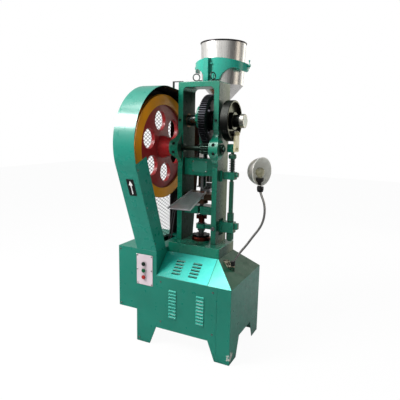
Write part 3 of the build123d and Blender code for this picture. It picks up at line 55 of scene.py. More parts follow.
# ------------------------------------------------------------------ node helpers
class Tree:
    """Small wrapper to write shader trees in few lines."""

    def __init__(self, name):
        self.mat = bpy.data.materials.new(name)
        self.mat.use_nodes = True
        self.nt = self.mat.node_tree
        self.nt.nodes.clear()
        self.out = self.new("ShaderNodeOutputMaterial")
        self.bsdf = self.new("ShaderNodeBsdfPrincipled")
        self.nt.links.new(self.bsdf.outputs[0], self.out.inputs[0])
        self.coord = self.new("ShaderNodeTexCoord").outputs["Object"]
        self.geo = self.new("ShaderNodeNewGeometry")

    def new(self, kind, **values):
        node = self.nt.nodes.new(kind)
        for key, value in values.items():
            setattr(node, key, value)
        return node

    def link(self, a, b):
        self.nt.links.new(a, b)

    def put(self, node, index, value):
        socket = node.inputs[index]
        if isinstance(value, bpy.types.NodeSocket):
            self.link(value, socket)
        elif value is not None:
            socket.default_value = value

    def noise(self, scale, detail=4.0, stretch=(1, 1, 1), rough=0.55):
        mapping = self.new("ShaderNodeMapping")
        mapping.inputs["Scale"].default_value = stretch
        self.link(self.coord, mapping.inputs["Vector"])
        node = self.new("ShaderNodeTexNoise")
        node.inputs["Scale"].default_value = scale
        node.inputs["Detail"].default_value = detail
        node.inputs["Roughness"].default_value = rough
        self.link(mapping.outputs[0], node.inputs["Vector"])
        return node.outputs["Fac"]

    def ramp(self, value, low, high, to_low=0.0, to_high=1.0):
        node = self.new("ShaderNodeMapRange", clamp=True)
        for i, v in enumerate((value, low, high, to_low, to_high)):
            self.put(node, i, v)
        return node.outputs[0]

    def math(self, op, a, b=None, c=None):
        node = self.new("ShaderNodeMath", operation=op)
        for i, v in enumerate((a, b, c)):
            self.put(node, i, v)
        return node.outputs[0]

    def vec(self, op, a, b=None, out=0):
        node = self.new("ShaderNodeVectorMath", operation=op)
        self.put(node, 0, a)
        if b is not None:
            self.put(node, 1, b)
        return node.outputs[out]

    def mix(self, factor, a, b):
        node = self.new("ShaderNodeMix", data_type="RGBA")
        self.put(node, 0, factor)
        self.put(node, 6, (*a, 1.0) if isinstance(a, tuple) else a)
        self.put(node, 7, (*b, 1.0) if isinstance(b, tuple) else b)
        return node.outputs[2]

    def split(self, vector):
        node = self.new("ShaderNodeSeparateXYZ")
        self.link(vector, node.inputs[0])
        return node.outputs

    def round_normal(self, radius):
        node = self.new("ShaderNodeBevel", samples=4)
        node.inputs[0].default_value = radius
        return node.outputs[0]

    def edge_mask(self, radius):
        """1 near convex and concave edges, 0 on flat faces."""
        bent = self.new("ShaderNodeBevel", samples=4)
        bent.inputs[0].default_value = radius
        dot = self.vec("DOT_PRODUCT", bent.outputs[0], self.geo.outputs["Normal"], out=1)
        return self.ramp(dot, 0.985, 0.90, 0.0, 1.0)

    def bump(self, height, strength, distance, normal=None):
        node = self.new("ShaderNodeBump")
        node.inputs["Strength"].default_value = strength
        node.inputs["Distance"].default_value = distance
        self.link(height, node.inputs["Height"])
        if normal is not None:
            self.link(normal, node.inputs["Normal"])
        self.link(node.outputs[0], self.bsdf.inputs["Normal"])
        return node.outputs[0]

    # Ambient occlusion; the materials use it to paint shade into corners and creases.
    def crevice(self, distance=0.03):
        node = self.new("ShaderNodeAmbientOcclusion", samples=6)
        node.inputs["Distance"].default_value = distance
        return node.outputs["AO"]

    def set(self, **values):
        for key, value in values.items():
            name = key.replace("_", " ")
            self.put(self.bsdf, name, value)


def rgb(r, g, b):
    """sRGB 0-255 to linear."""
    def lin(c):
        c = c / 255
        return c / 12.92 if c <= 0.04045 else ((c + 0.055) / 1.055) ** 2.4
    return (lin(r), lin(g), lin(b))


def tint(c, k):
    return tuple(min(1.0, v * k) for v in c)


# ------------------------------------------------------------------ materials
BARE = (0.32, 0.34, 0.33)


def enamel(name, colour, rough=0.3, peel=0.05, cast=0.0, wear=0.25, coat=0.35, crevice_shade=0.35, chip=BARE):
    """Machine enamel: uneven tone, orange peel or casting skin, painted shade in corners and creases, and
    rubbed edges.
    """
    t = Tree(name)
    broad = t.noise(5.0, 3.0)
    fine = t.noise(260.0, 5.0)
    tone = t.mix(t.ramp(broad, 0.3, 0.7), tint(colour, 0.90), tint(colour, 1.08))
    tone = t.mix(t.ramp(fine, 0.35, 0.75, 0.0, 0.08), tone, tint(colour, 0.75))
    streak = t.noise(14.0, 5.0, (1, 1, 0.12))
    tone = t.mix(t.ramp(streak, 0.55, 0.8, 0.0, 0.10), tone, tint(colour, 1.4))
    # painted shade: colour darkened in corners and creases, from ambient occlusion
    ao = t.ramp(t.crevice(), 0.45, 0.95, crevice_shade, 0.0)
    tone = t.mix(ao, tone, tint(colour, 0.25))
    patchy = t.ramp(t.noise(70.0, 6.0), 0.48, 0.66)
    rubbed = t.math("MULTIPLY", t.math("MULTIPLY", t.edge_mask(0.0012), patchy), wear)
    tone = t.mix(rubbed, tone, chip)
    t.set(Base_Color=tone, Roughness=t.ramp(t.noise(30.0, 4.0), 0.3, 0.7, rough * 0.8, rough * 1.3),
          Coat_Weight=coat, Coat_Roughness=0.12, Specular_IOR_Level=0.5)
    skin = t.noise(900.0, 2.0) if cast == 0.0 else t.noise(190.0, 6.0)
    t.bump(skin, peel if cast == 0.0 else cast, 0.0006 if cast == 0.0 else 0.0015, t.round_normal(0.0016))
    return t


def metal(name, colour, rough=0.3, along=(1, 1, 1), streaks=500.0, dark=0.55, bump=0.06, wear=0.5, crevice_shade=0.4):
    """Machined or brushed metal: tool marks along one direction, stains, painted shade in corners and bright
    edges.
    """
    t = Tree(name)
    marks = t.noise(streaks, 5.0, along)
    stain = t.noise(18.0, 6.0)
    tone = t.mix(t.ramp(marks, 0.3, 0.7), tint(colour, 0.82), tint(colour, 1.12))
    tone = t.mix(t.ramp(stain, 0.5, 0.75, 0.0, 0.5), tone, tint(colour, dark))
    # painted shade: colour darkened in corners and creases, from ambient occlusion
    ao = t.ramp(t.crevice(0.02), 0.4, 0.95, crevice_shade, 0.0)
    tone = t.mix(ao, tone, tint(colour, 0.22))
    edge = t.math("MULTIPLY", t.edge_mask(0.001), wear)
    tone = t.mix(edge, tone, tint(colour, 1.7))
    t.set(Base_Color=tone, Metallic=1.0, Roughness=t.ramp(marks, 0.3, 0.7, rough * 0.75, rough * 1.35))
    t.bump(marks, bump, 0.0005, t.round_normal(0.0008))
    return t


def plastic(name, colour, rough=0.25):
    t = Tree(name)
    tone = t.mix(t.ramp(t.noise(80.0, 4.0), 0.3, 0.7), tint(colour, 0.85), tint(colour, 1.15))
    edge = t.math("MULTIPLY", t.edge_mask(0.0008), 0.3)
    tone = t.mix(edge, tone, tint(colour, 1.9))
    t.set(Base_Color=tone, Roughness=t.ramp(t.noise(400.0, 3.0), 0.3, 0.7, rough * 0.8, rough * 1.4))
    t.bump(t.noise(1500.0, 2.0), 0.03, 0.0003, t.round_normal(0.0008))
    return t


GREEN = rgb(16, 115, 97)
CAST_GREEN = rgb(12, 122, 97)

sheet_green = enamel("sheet_green", GREEN, rough=0.32, peel=0.04, wear=0.35, coat=0.2)
front_green = enamel("front_green", GREEN, rough=0.32, peel=0.04, wear=0.35, coat=0.2)
# lighter than the cabinet's green: painted light on the front slope
slope_green = enamel("slope_green", rgb(18, 126, 108), rough=0.26, peel=0.04, wear=0.35, coat=0.3)
cast_green = enamel("cast_green", CAST_GREEN, rough=0.28, cast=0.10, wear=0.45, coat=0.25)
# lighter teal than the frame's green: painted highlight from the light above
bracket_green = enamel("bracket_green", rgb(30, 158, 138), rough=0.26, cast=0.08, wear=0.45, coat=0.3)
rod_green = enamel("rod_green", rgb(22, 92, 70), rough=0.22, cast=0.05, wear=0.5, coat=0.5)
plate_green = enamel("plate_green", rgb(52, 138, 116), rough=0.3, cast=0.6, wear=1.0, coat=0.2,
                     chip=rgb(20, 60, 50))
black_paint = enamel("black_paint", rgb(20, 20, 22), rough=0.45, wear=0.2, crevice_shade=0.2, coat=0.1)
cream = enamel("cream_paint", rgb(224, 214, 168), rough=0.4, wear=0.5, crevice_shade=0.45)
bare_steel = metal("bare_steel", rgb(168, 168, 172), 0.28, (1, 1, 0.25))
bright_steel = metal("bright_steel", rgb(214, 214, 218), 0.16, (0.2, 1, 1), dark=0.7)
nickel = metal("nickel_screw", rgb(226, 226, 222), 0.2, (0.2, 1, 1), dark=0.7)
shaft_steel = metal("shaft_steel", rgb(132, 138, 136), 0.26, (8.0, 1, 1), streaks=90.0)
green_steel = metal("green_steel", rgb(66, 84, 76), 0.32, (8.0, 1, 1), streaks=90.0, wear=0.6)
turned_steel = metal("turned_steel", rgb(122, 122, 124), 0.26, (1, 1, 14.0), streaks=90.0)
spring_steel = metal("spring_steel", rgb(58, 58, 60), 0.3, (1, 1, 10.0), streaks=90.0, wear=0.9)
table_iron = metal("table_iron", rgb(112, 86, 70), 0.36, (1, 0.2, 1), streaks=120.0, wear=0.6)
dark_iron = metal("dark_iron", rgb(50, 50, 54), 0.38, (6.0, 1, 1), streaks=60.0, wear=0.9, crevice_shade=0.6)
cam_iron = metal("cam_iron", rgb(46, 47, 45), 0.36, (10.0, 1, 1), streaks=60.0, wear=0.7, crevice_shade=0.7)
dark_bolt = metal("dark_bolt", rgb(48, 50, 50), 0.35, wear=0.9)
eye_iron = metal("eye_iron", rgb(70, 84, 80), 0.3, wear=0.9)
collar_iron = metal("collar_iron", rgb(186, 184, 176), 0.34, (6.0, 1, 1), streaks=60.0, wear=0.6)
copper = metal("copper_ring", rgb(150, 92, 62), 0.28, (1, 1, 12.0), streaks=90.0)
bronze = metal("bronze_bush", rgb(120, 96, 62), 0.32, (8.0, 1, 1), streaks=70.0)
red_iron = metal("red_iron", rgb(96, 40, 32), 0.42, (1, 1, 6.0), streaks=80.0, wear=0.5)
black_iron = metal("black_iron", rgb(38, 36, 38), 0.4, (1, 1, 6.0), streaks=80.0, wear=0.9)
stainless = metal("stainless", rgb(206, 204, 204), 0.22, (1, 1, 0.03), streaks=260.0, dark=0.72, crevice_shade=0.3)
tray_steel = metal("tray_steel", rgb(226, 226, 230), 0.4, (1, 0.05, 1), streaks=420.0, dark=0.7, crevice_shade=0.4)
plate_alu = enamel("plate_alu", rgb(202, 186, 192), rough=0.36, wear=0.4, crevice_shade=0.3, chip=rgb(120, 112, 116))
belt_rubber = plastic("belt_rubber", rgb(24, 24, 26), 0.7)
socket_black = plastic("socket_black", rgb(16, 16, 17), 0.35)
button_red = plastic("button_red", rgb(150, 30, 26))
button_green = plastic("button_green", rgb(14, 84, 50))
button_dark = plastic("button_dark", rgb(30, 40, 34))


def scuffed(tree, spot, reach, chip):
    """Knocked paint around one place: patches of bare metal inside a soft radius."""
    t = tree
    base = t.bsdf.inputs["Base Color"].links[0].from_socket
    away = t.vec("LENGTH", t.vec("SUBTRACT", t.coord, tuple(spot)), out=1)
    patch = t.math("ADD", t.ramp(away, 0.0, reach, 0.42, -0.2), t.noise(55.0, 6.0))
    t.link(t.mix(t.ramp(patch, 0.66, 0.70), base, chip), t.bsdf.inputs["Base Color"])


scuffed(sheet_green, at(285, -206, 42), 0.055, rgb(170, 172, 164))


def tilted_faces(tree, direction, colour, shine=None, where=None):
    """Painted light or shade: another tone, and another amount of shine, on the faces that look along one
    direction.
    """
    t = tree
    base = t.bsdf.inputs["Base Color"].links[0].from_socket
    ahead = tuple(Vector(direction).normalized())
    facing = t.vec("DOT_PRODUCT", t.geo.outputs["True Normal"], ahead, out=1)
    mask = t.ramp(facing, 0.95, 0.98)
    if where is not None:
        mask = t.math("MULTIPLY", mask, where)
    t.link(t.mix(mask, base, colour), t.bsdf.inputs["Base Color"])
    if shine is not None:
        for name, level in (("Specular IOR Level", shine), ("Coat Weight", 0.0)):
            socket = t.bsdf.inputs[name]
            before = socket.links[0].from_socket if socket.links else socket.default_value
            t.put(t.bsdf, name, t.ramp(mask, 0.0, 1.0, before, level))


def across(tree, start, end, left, right):
    """Colour that changes evenly from one x to another, in drawing millimetres."""
    x = tree.split(tree.coord)[0]
    return tree.mix(tree.ramp(x, at(start, 0, 0).x, at(end, 0, 0).x), left, right)


def chrome_hose():
    """Gooseneck: chromed ribs above a black swivel body."""
    t = Tree("chrome_hose")
    z = t.split(t.coord)[2]
    body = t.ramp(z, at(0, 0, 511.2).z, at(0, 0, 511.0).z)
    ribs = t.math("SINE", t.math("MULTIPLY", z, 2400.0))
    tone = t.mix(t.ramp(ribs, -0.9, 0.4), rgb(118, 116, 116), rgb(222, 220, 218))
    tone = t.mix(t.ramp(t.noise(60.0, 4.0), 0.5, 0.75, 0.0, 0.3), tone, rgb(90, 88, 86))
    tone = t.mix(body, tone, rgb(24, 24, 25))
    t.set(Base_Color=tone, Metallic=t.ramp(body, 0.0, 1.0, 1.0, 0.0), Roughness=0.2)
    t.bump(ribs, 0.12, 0.0008)
    return t


def aged_cast():
    """Lamp foot: worn grey-beige casting with dark pits."""
    t = Tree("aged_cast")
    coarse = t.noise(75.0, 5.0)
    tone = t.mix(t.ramp(coarse, 0.42, 0.58), rgb(52, 50, 44), rgb(176, 168, 142))
    z = t.split(t.coord)[2]
    low = t.ramp(z, 0.478, 0.474)
    tone = t.mix(low, tone, rgb(30, 74, 54))
    tone = t.mix(t.math("MULTIPLY", t.edge_mask(0.0012), 0.5), tone, rgb(200, 196, 180))
    t.set(Base_Color=tone, Metallic=0.5, Roughness=t.ramp(coarse, 0.3, 0.7, 0.5, 0.32))
    t.bump(coarse, 0.6, 0.002)
    return t


def hopper_steel():
    """Brushed drum with a dark rolled rim."""
    t = metal("hopper_steel", rgb(240, 238, 236), 0.3, (1, 1, 0.03), streaks=260.0, dark=0.72, crevice_shade=0.3)
    base = t.bsdf.inputs["Base Color"].links[0].from_socket
    z = t.split(t.coord)[2]
    rim = t.ramp(z, 1.6800, 1.6812)
    t.link(t.mix(rim, base, rgb(58, 54, 56)), t.bsdf.inputs["Base Color"])
    return t


def wheel_paint():
    """Flywheel: ochre rim, maroon web and a brighter red hub, worn bright on its edges."""
    t = Tree("wheel_paint")
    lo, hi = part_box("flywheel")
    mid = (lo + hi) / 2
    delta = t.vec("SUBTRACT", t.coord, (mid.x, mid.y, mid.z))
    flat = t.vec("MULTIPLY", delta, (0.0, 1.0, 1.0))
    radius = t.vec("LENGTH", flat, out=1)
    maroon, ochre, red = rgb(158, 26, 32), rgb(244, 158, 2), rgb(186, 28, 34)
    tone = t.mix(t.ramp(radius, 0.064, 0.066), red, maroon)
    tone = t.mix(t.ramp(radius, 0.2315, 0.2325), tone, ochre)
    shade = t.noise(9.0, 4.0)
    tone = t.mix(t.ramp(shade, 0.35, 0.7, 0.0, 0.25), tone, (0.02, 0.01, 0.01))
    tone = t.mix(t.ramp(t.noise(120.0, 5.0), 0.45, 0.8, 0.0, 0.15), tone, (0.5, 0.2, 0.15))
    # painted shade: colour darkened in corners and creases, from ambient occlusion
    tone = t.mix(t.ramp(t.crevice(), 0.4, 0.95, 0.5, 0.0), tone, (0.01, 0.004, 0.004))
    tone = t.mix(t.math("MULTIPLY", t.edge_mask(0.0015), 0.35), tone, (0.6, 0.35, 0.3))
    t.set(Base_Color=tone, Roughness=t.ramp(t.noise(40.0, 4.0), 0.3, 0.7, 0.30, 0.46), Coat_Weight=0.08,
          Coat_Roughness=0.15, Specular_IOR_Level=0.3)
    t.bump(t.noise(170.0, 6.0), 0.15, 0.0014, t.round_normal(0.0018))
    return t


def guard_paint():
    """Belt guard: green enamel outside, black inside."""
    t = enamel("guard_paint", rgb(24, 130, 112), rough=0.3, peel=0.03, wear=0.3, coat=0.3)
    base = t.bsdf.inputs["Base Color"].links[0].from_socket
    centre = at(-220, -70, 930)
    inward = t.vec("SUBTRACT", (centre.x, centre.y, centre.z), t.coord)
    plain = t.vec("MULTIPLY", inward, (0.0, 1.0, 1.0))
    facing = t.vec("DOT_PRODUCT", plain, t.geo.outputs["True Normal"], out=1)
    inside = t.ramp(facing, 0.03, 0.05)
    t.link(t.mix(inside, base, rgb(22, 22, 24)), t.bsdf.inputs["Base Color"])
    return t


def shade_paint():
    """Lamp shade: grey metallic outside, white reflector inside."""
    t = Tree("shade_paint")
    lo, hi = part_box("lamp_shade")
    yaw = math.radians(-23)
    axis = Vector((math.cos(yaw), math.sin(yaw), 0))
    facing = t.vec("DOT_PRODUCT", t.geo.outputs["True Normal"], tuple(axis), out=1)
    inside = t.ramp(facing, -0.02, 0.02)
    mottled = t.noise(60.0, 5.0)
    outer = t.mix(t.ramp(mottled, 0.3, 0.7), rgb(168, 166, 160), rgb(206, 204, 198))
    inner = t.mix(t.ramp(mottled, 0.3, 0.7), rgb(232, 232, 226), rgb(250, 250, 244))
    tone = t.mix(inside, outer, inner)
    tone = t.mix(t.math("MULTIPLY", t.edge_mask(0.0012), 0.5), tone, (0.8, 0.8, 0.8))
    t.set(Base_Color=tone, Metallic=t.ramp(inside, 0.0, 1.0, 0.8, 0.15), Roughness=0.34)
    t.bump(t.noise(700.0, 2.0), 0.04, 0.0005)
    return t


def bulb_glass():
    t = Tree("bulb_glass")
    tone = t.mix(t.ramp(t.noise(50.0, 3.0), 0.3, 0.7), rgb(176, 172, 140), rgb(206, 202, 172))
    t.set(Base_Color=tone, Roughness=0.08, Transmission_Weight=0.45, Coat_Weight=1.0, Coat_Roughness=0.03)
    t.bump(t.noise(300.0, 2.0), 0.02, 0.0003)
    return t


# directions that the cabinet's slopes and the louvre hoods look along
FRONT_SLOPE, RIGHT_SLOPE = (0, -108, 121), (108, 0, 126)
LOUVRE_TOP, RIGHT = (0, -0.8, 0.6), (1, 0, 0)
# x span and shaded end of the painted light across the front slope
SLOPE_LEFT, SLOPE_RIGHT = -150, 200
SHADED = rgb(20, 148, 130)


def side_tones():
    """Faces that catch more or less light than the rest of their piece."""
    # painted highlight: the slope panel's front faces lighter towards the right
    bright = across(slope_green, SLOPE_LEFT, SLOPE_RIGHT, SHADED, rgb(96, 250, 234))
    tilted_faces(slope_green, FRONT_SLOPE, bright, shine=0.2)
    # painted highlight: the cabinet's front slope lighter towards the right
    bright = across(sheet_green, SLOPE_LEFT, SLOPE_RIGHT, SHADED, rgb(84, 232, 210))
    tilted_faces(sheet_green, FRONT_SLOPE, bright)
    # painted shade: the cabinet's right slope darker and olive
    tilted_faces(sheet_green, RIGHT_SLOPE, rgb(44, 92, 70), shine=0.1)
    # painted highlight on the upward faces of the front louvre hoods
    tilted_faces(front_green, LOUVRE_TOP, rgb(50, 168, 148), shine=0.1)
    t = cast_green
    x, y = t.split(t.coord)[0], t.split(t.coord)[1]
    # painted shade on the left upright's inner face
    inner_side = t.ramp(x, at(-20, 0, 0).x, at(-25, 0, 0).x)
    tilted_faces(t, RIGHT, rgb(22, 56, 42), shine=0.05, where=inner_side)
    # painted reflection: the right upright's outer face dark green at the front, olive towards the rear
    outer_side = t.ramp(x, at(104, 0, 0).x, at(106, 0, 0).x)
    to_rear = t.ramp(y, at(0, -8, 0).y, at(0, 70, 0).y)
    tilted_faces(t, RIGHT, t.mix(to_rear, rgb(16, 70, 54), rgb(112, 126, 98)), shine=0.3, where=outer_side)
    # painted light: the cam drum's right face lighter, olive grey
    tilted_faces(cam_iron, RIGHT, rgb(108, 110, 94))


side_tones()

MATERIALS = {
    sheet_green: ["cabinet_shell", "motor_box"],
    front_green: ["front_panel"],
    slope_green: ["slope_panel"],
    cast_green: ["pedestal", "press_frame", "bearing_caps", "ram_guide", "lower_guide", "rod_bracket",
                 "connecting_rod", "rod_cap", "lift_block", "lift_lever", "motor"],
    bracket_green: ["hopper_bracket"],
    guard_paint(): ["guard_shell"],
    black_paint: ["guard_back", "guard_stay"],
    wheel_paint(): ["flywheel"],
    dark_iron: ["main_gear", "motor_pulley"],
    cam_iron: ["cam_drum"],
    collar_iron: ["end_collar"],
    dark_bolt: ["cap_bolts"],
    nickel: ["panel_screws"],
    eye_iron: ["eye_bolts"],
    bare_steel: ["lever_pin", "upper_punch", "feed_shoe"],
    shaft_steel: ["main_shaft"],
    green_steel: ["pinion_shaft"],
    rod_green: ["lift_rod"],
    spring_steel: ["lift_spring"],
    table_iron: ["die_table"],
    turned_steel: ["ram", "wrist_pins", "lower_punch", "cam_roller"],
    bright_steel: ["die"],
    copper: ["die_ring"],
    bronze: ["shaft_bushes"],
    red_iron: ["fill_star", "base_flange"],
    black_iron: ["eject_star"],
    stainless: ["feed_tube"],
    hopper_steel(): ["hopper"],
    chrome_hose(): ["lamp_neck"],
    aged_cast(): ["lamp_base"],
    tray_steel: ["discharge_tray"],
    plate_alu: ["control_plate"],
    plate_green: ["name_plate"],
    belt_rubber: ["v_belts"],
    cream: ["follower_plate"],
    socket_black: ["lamp_socket"],
    shade_paint(): ["lamp_shade"],
    bulb_glass(): ["lamp_bulb"],
    button_green: ["run_button"],
    button_dark: ["jog_button"],
    button_red: ["stop_button"],
}


def paint(obj, tree):
    if not obj.material_slots:
        obj.data.materials.append(tree.mat)
    for item in obj.material_slots:
        item.link = "OBJECT"
        item.material = tree.mat


for tree, names in MATERIALS.items():
    for name in names:
        paint(nodes[name], tree)


# ------------------------------------------------------------------ belt guard's perforated back
def guard_outline():
    """The guard's convex outline (y, z) in drawing millimetres, seen from the side."""
    front, rear = (Vector((-121.0, 1120.0)), 301.0), (Vector((-34.0, 1098.76)), 313.0)
    cloud = [Vector((-223.0, 546.5)), Vector((203.0, 546.5))]
    for centre, radius in (front, rear):
        for i in range(72):
            a = math.radians(5 * i)
            cloud.append(centre + radius * Vector((math.cos(a), math.sin(a))))
    cloud.sort(key=lambda p: (p.x, p.y))

    def chain(points):
        kept = []
        for p in points:
            while len(kept) > 1 and (kept[-1] - kept[-2]).cross(p - kept[-2]) <= 0:
                kept.pop()
            kept.append(p)
        return kept[:-1]

    return chain(cloud) + chain(cloud[::-1])


def clip(polygon, outline):
    """Part of a convex polygon that lies inside a counterclockwise convex outline."""
    for i, a in enumerate(outline):
        b = outline[(i + 1) % len(outline)]
        kept = []
        for j, p in enumerate(polygon):
            q = polygon[(j + 1) % len(polygon)]
            side_p, side_q = (b - a).cross(p - a), (b - a).cross(q - a)
            if side_p >= 0:
                kept.append(p)
            if (side_p >= 0) != (side_q >= 0):
                kept.append(p.lerp(q, side_p / (side_p - side_q)))
        polygon = kept
        if len(polygon) < 3:
            return []
    return polygon


def sheet_object(name, faces, x, thickness, tree, body, weld=True):
    """Thin sheet in a plane of constant x from faces of (y, z) points, thickened towards -x."""
    bm = bmesh.new()
    for face in faces:
        bm.faces.new([bm.verts.new(at(x, p.x, p.y)) for p in face])
    if weld:
        bmesh.ops.remove_doubles(bm, verts=bm.verts, dist=0.00005)
    mesh = bpy.data.meshes.new(name)
    bm.to_mesh(mesh)
    bm.free()
    obj = bpy.data.objects.new(name, mesh)
    bpy.context.scene.collection.objects.link(obj)
    solid = obj.modifiers.new("thickness", "SOLIDIFY")
    solid.thickness = thickness * MM
    solid.offset = 0.0
    paint(obj, tree)
    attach(obj, body)
    return obj


STEP_Y, STEP_Z = 19.0, 10.5
STRAND, KNOT = 1.1, 3.1
SOLID_FROM_Y = 132.0
SOLID_FROM_Z = 1330.0
SHEET_X = -278.2
LATTICE_Y0, LATTICE_Z0, LATTICE_TOP, LATTICE_REAR = -440, 546.5, 1430, 320
LATTICE_COLUMNS, LATTICE_ROWS = 32, 84


def area(y0, z0, y1, z1):
    return [Vector((y0, z0)), Vector((y1, z0)), Vector((y1, z1)), Vector((y0, z1))]


def guard_sheets():
    """Expanded-metal lattice behind the wheel, with plain sheet at the top and the rear."""
    outline = guard_outline()
    front = clip(area(LATTICE_Y0, LATTICE_Z0, SOLID_FROM_Y, LATTICE_TOP), outline)
    border = list(zip(front, front[1:] + front[:1]))

    def depth(p):
        return min((b - a).cross(p - a) / (b - a).length for a, b in border if (b - a).length > 1e-6)

    faces = []

    def add(polygon, near):
        if near > 25:
            faces.append(polygon)
        elif near > -25:
            cut = clip(polygon, front)
            if cut:
                faces.append(cut)

    for i in range(LATTICE_COLUMNS):
        for j in range(LATTICE_ROWS):
            if (i + j) % 2:
                continue
            knot = Vector((LATTICE_Y0 + 15 + i * STEP_Y, LATTICE_Z0 + j * STEP_Z))
            near = depth(knot)
            corners = [math.radians(60 * k) for k in range(6)]
            add([knot + KNOT * Vector((math.cos(a) * 0.8, math.sin(a))) for a in corners], near)
            for rise in (-1, 1):
                end = knot + Vector((STEP_Y, rise * STEP_Z))
                side = Vector((-(end - knot).y, (end - knot).x)).normalized() * STRAND
                add([knot - side, end - side, end + side, knot + side], near)
    for a, b in border:
        if (b - a).length > 1e-6:
            inward = Vector((-(b - a).y, (b - a).x)).normalized() * 6.0
            faces.append([a, b, b + inward, a + inward])
    faces.append(clip(area(LATTICE_Y0, SOLID_FROM_Z, SOLID_FROM_Y, LATTICE_TOP), outline))
    sheet = sheet_object("guard_mesh_sheet", faces, SHEET_X, 1.0, black_paint, "machine", weld=False)
    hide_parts("guard_back")
    rear = clip(area(SOLID_FROM_Y, LATTICE_Z0, LATTICE_REAR, LATTICE_TOP), outline)
    sheet_object("guard_rear_sheet", [rear], SHEET_X, 1.0, black_paint, "machine")


guard_sheets()


# ------------------------------------------------------------------ direction plate on the guard
def direction_plate():
    """Black plate with a plain white arrow, on the guard's sloping front."""
    lean = math.radians(21.02)
    up = Vector((0, -math.sin(lean), math.cos(lean)))
    out = Vector((0, -math.cos(lean), -math.sin(lean)))
    centre = at(-216, -225 - math.tan(lean) * (907 - 546), 907)
    sideways = Vector((1, 0, 0))
    white = enamel("arrow_white", rgb(232, 232, 230), rough=0.35, wear=0.2, crevice_shade=0.1)

    def piece(name, outline, lift, thickness, tree):
        bm = bmesh.new()
        base = [centre + sideways * x * MM + up * z * MM + out * lift * MM for x, z in outline]
        lower = [bm.verts.new(p) for p in base]
        upper = [bm.verts.new(p + out * thickness * MM) for p in base]
        bm.faces.new(upper)
        bm.faces.new(lower[::-1])
        count = len(outline)
        for k in range(count):
            bm.faces.new((lower[k], lower[(k + 1) % count], upper[(k + 1) % count], upper[k]))
        bmesh.ops.recalc_face_normals(bm, faces=bm.faces)
        bmesh.ops.triangulate(bm, faces=[f for f in bm.faces if len(f.verts) > 4])
        mesh = bpy.data.meshes.new(name)
        bm.to_mesh(mesh)
        bm.free()
        obj = bpy.data.objects.new(name, mesh)
        bpy.context.scene.collection.objects.link(obj)
        paint(obj, tree)
        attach(obj, "machine")

    w, h, c = 22.0, 47.0, 3.0
    corner = [(-w + c, -h), (w - c, -h), (w, -h + c), (w, h - c),
              (w - c, h), (-w + c, h), (-w, h - c), (-w, -h + c)]
    piece("arrow_plate", corner, 0.2, 0.8, black_paint)
    arrow = [(-3.2, -38), (3.2, -38), (3.2, 12), (13, 12), (0, 38), (-13, 12), (-3.2, 12)]
    piece("arrow_mark", arrow, 1.0, 0.3, white)


direction_plate()


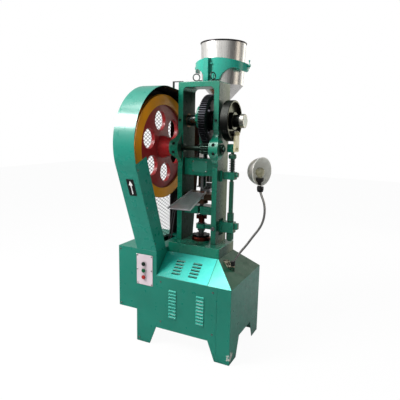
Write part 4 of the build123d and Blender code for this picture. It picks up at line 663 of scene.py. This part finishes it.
# ------------------------------------------------------------------ stage, light and camera
def studio():
    """White backdrop for the camera; for reflections a bright left and front, a dim right."""
    world = bpy.data.worlds.new("studio")
    bpy.context.scene.world = world
    world.use_nodes = True
    nt = world.node_tree
    nt.nodes.clear()

    def new(kind, **values):
        node = nt.nodes.new(kind)
        for key, value in values.items():
            setattr(node, key, value)
        return node

    def put(socket, value):
        if isinstance(value, bpy.types.NodeSocket):
            nt.links.new(value, socket)
        else:
            socket.default_value = value

    def ramp(value, low, high, a, b):
        node = new("ShaderNodeMapRange", clamp=True)
        for i, v in enumerate((value, low, high, a, b)):
            put(node.inputs[i], v)
        return node.outputs[0]

    def math_node(op, a, b):
        node = new("ShaderNodeMath", operation=op)
        put(node.inputs[0], a)
        put(node.inputs[1], b)
        return node.outputs[0]

    def along(direction):
        node = new("ShaderNodeVectorMath", operation="DOT_PRODUCT")
        put(node.inputs[0], coord.outputs["Generated"])
        put(node.inputs[1], direction)
        return node.outputs[1]

    def background(colour, strength):
        node = new("ShaderNodeBackground")
        put(node.inputs[0], colour)
        put(node.inputs[1], strength)
        return node.outputs[0]

    def choose(factor, a, b):
        node = new("ShaderNodeMixShader")
        put(node.inputs[0], factor)
        put(node.inputs[1], a)
        put(node.inputs[2], b)
        return node.outputs[0]

    out = new("ShaderNodeOutputWorld")
    coord = new("ShaderNodeTexCoord")
    path = new("ShaderNodeLightPath")
    side = ramp(along((-0.55, -0.65, 0.0)), -0.2, 0.3, 0.12, 0.95)
    side = math_node("MULTIPLY", side, ramp(along((0, 0, 1)), -0.12, 0.18, 0.16, 1.0))
    behind = ramp(along((0, 1, 0)), 0.45, 0.85, 0.0, 0.42)
    mirror = background((1.0, 1.0, 0.97, 1.0), math_node("ADD", side, behind))
    soft = background((0.95, 0.98, 1.0, 1.0), ramp(along((-0.45, -0.5, 0.74)), -0.7, 0.9, 0.05, 0.55))
    white = background((1.0, 1.0, 1.0, 1.0), 1.0)
    lit = choose(path.outputs["Is Glossy Ray"], soft, mirror)
    nt.links.new(choose(path.outputs["Is Camera Ray"], lit, white), out.inputs[0])

    bm = bmesh.new()
    bmesh.ops.create_grid(bm, x_segments=8, y_segments=8, size=9.0)
    mesh = bpy.data.meshes.new("floor")
    bm.to_mesh(mesh)
    bm.free()
    floor = bpy.data.objects.new("floor", mesh)
    bpy.context.scene.collection.objects.link(floor)
    floor.location = (0, 0, -0.0005)
    t = Tree("floor_paper")
    tone = t.mix(t.ramp(t.noise(3.0, 3.0), 0.3, 0.7), (0.93, 0.93, 0.93), (0.96, 0.96, 0.96))
    t.set(Base_Color=tone, Roughness=0.9, Specular_IOR_Level=0.1)
    t.bump(t.noise(60.0, 3.0), 0.02, 0.001)
    seen = t.new("ShaderNodeLightPath")
    glow = t.new("ShaderNodeEmission")
    mirror = t.new("ShaderNodeEmission")
    t.link(t.ramp(t.split(t.coord)[1], -0.3, 1.0, 0.14, 0.5), mirror.inputs["Strength"])
    for_camera = t.new("ShaderNodeMixShader")
    t.link(t.math("MULTIPLY", seen.outputs["Is Camera Ray"], 0.955), for_camera.inputs[0])
    t.link(t.bsdf.outputs[0], for_camera.inputs[1])
    t.link(glow.outputs[0], for_camera.inputs[2])
    for_mirror = t.new("ShaderNodeMixShader")
    t.link(seen.outputs["Is Glossy Ray"], for_mirror.inputs[0])
    t.link(for_camera.outputs[0], for_mirror.inputs[1])
    t.link(mirror.outputs[0], for_mirror.inputs[2])
    t.link(for_mirror.outputs[0], t.out.inputs[0])
    floor.data.materials.append(t.mat)

    def lamp_panel(name, place, target, size, power, colour=(1, 1, 1)):
        data = bpy.data.lights.new(name, "AREA")
        data.shape = "RECTANGLE"
        data.size, data.size_y = size
        data.energy = power
        data.color = colour
        lamp = bpy.data.objects.new(name, data)
        lamp.location = place
        lamp.rotation_mode = "QUATERNION"
        lamp.rotation_quaternion = (Vector(target) - Vector(place)).to_track_quat("-Z", "Y")
        bpy.context.scene.collection.objects.link(lamp)

    lamp_panel("key", (-1.9, -2.0, 2.9), (0, 0, 0.8), (1.1, 1.1), 115)
    lamp_panel("fill", (2.9, 0.9, 1.3), (0, 0, 0.8), (0.9, 2.0), 8, (1.0, 0.90, 0.76))
    lamp_panel("top", (-0.9, -0.9, 3.3), (0, 0, 0.6), (1.3, 1.0), 34)
    lamp_panel("rear", (1.2, 3.2, 1.7), (0, 0, 1.0), (1.0, 2.0), 12, (1.0, 0.97, 0.85))


def photo_camera():
    """Camera at the photograph's place: pan, tilt and a slight roll, in degrees."""
    pan, tilt, roll = math.radians(-25.99), math.radians(-10.03), math.radians(1.21)
    ahead = Vector((math.sin(pan) * math.cos(tilt), math.cos(pan) * math.cos(tilt), math.sin(tilt)))
    right = Vector((math.cos(pan), -math.sin(pan), 0))
    up = right.cross(ahead)
    right2 = math.cos(roll) * right + math.sin(roll) * up
    up2 = -math.sin(roll) * right + math.cos(roll) * up
    data = bpy.data.cameras.new("camera")
    data.sensor_width = 36.0
    data.lens = 37.005
    cam = bpy.data.objects.new("camera", data)
    cam.matrix_world = Matrix.Translation(at(986.4, -2044.7, 1211.4)) @ Matrix(
        (right2, up2, -ahead)).transposed().to_4x4()
    bpy.context.scene.collection.objects.link(cam)
    bpy.context.scene.camera = cam


studio()
photo_camera()
bpy.context.scene.view_settings.view_transform = "Standard"
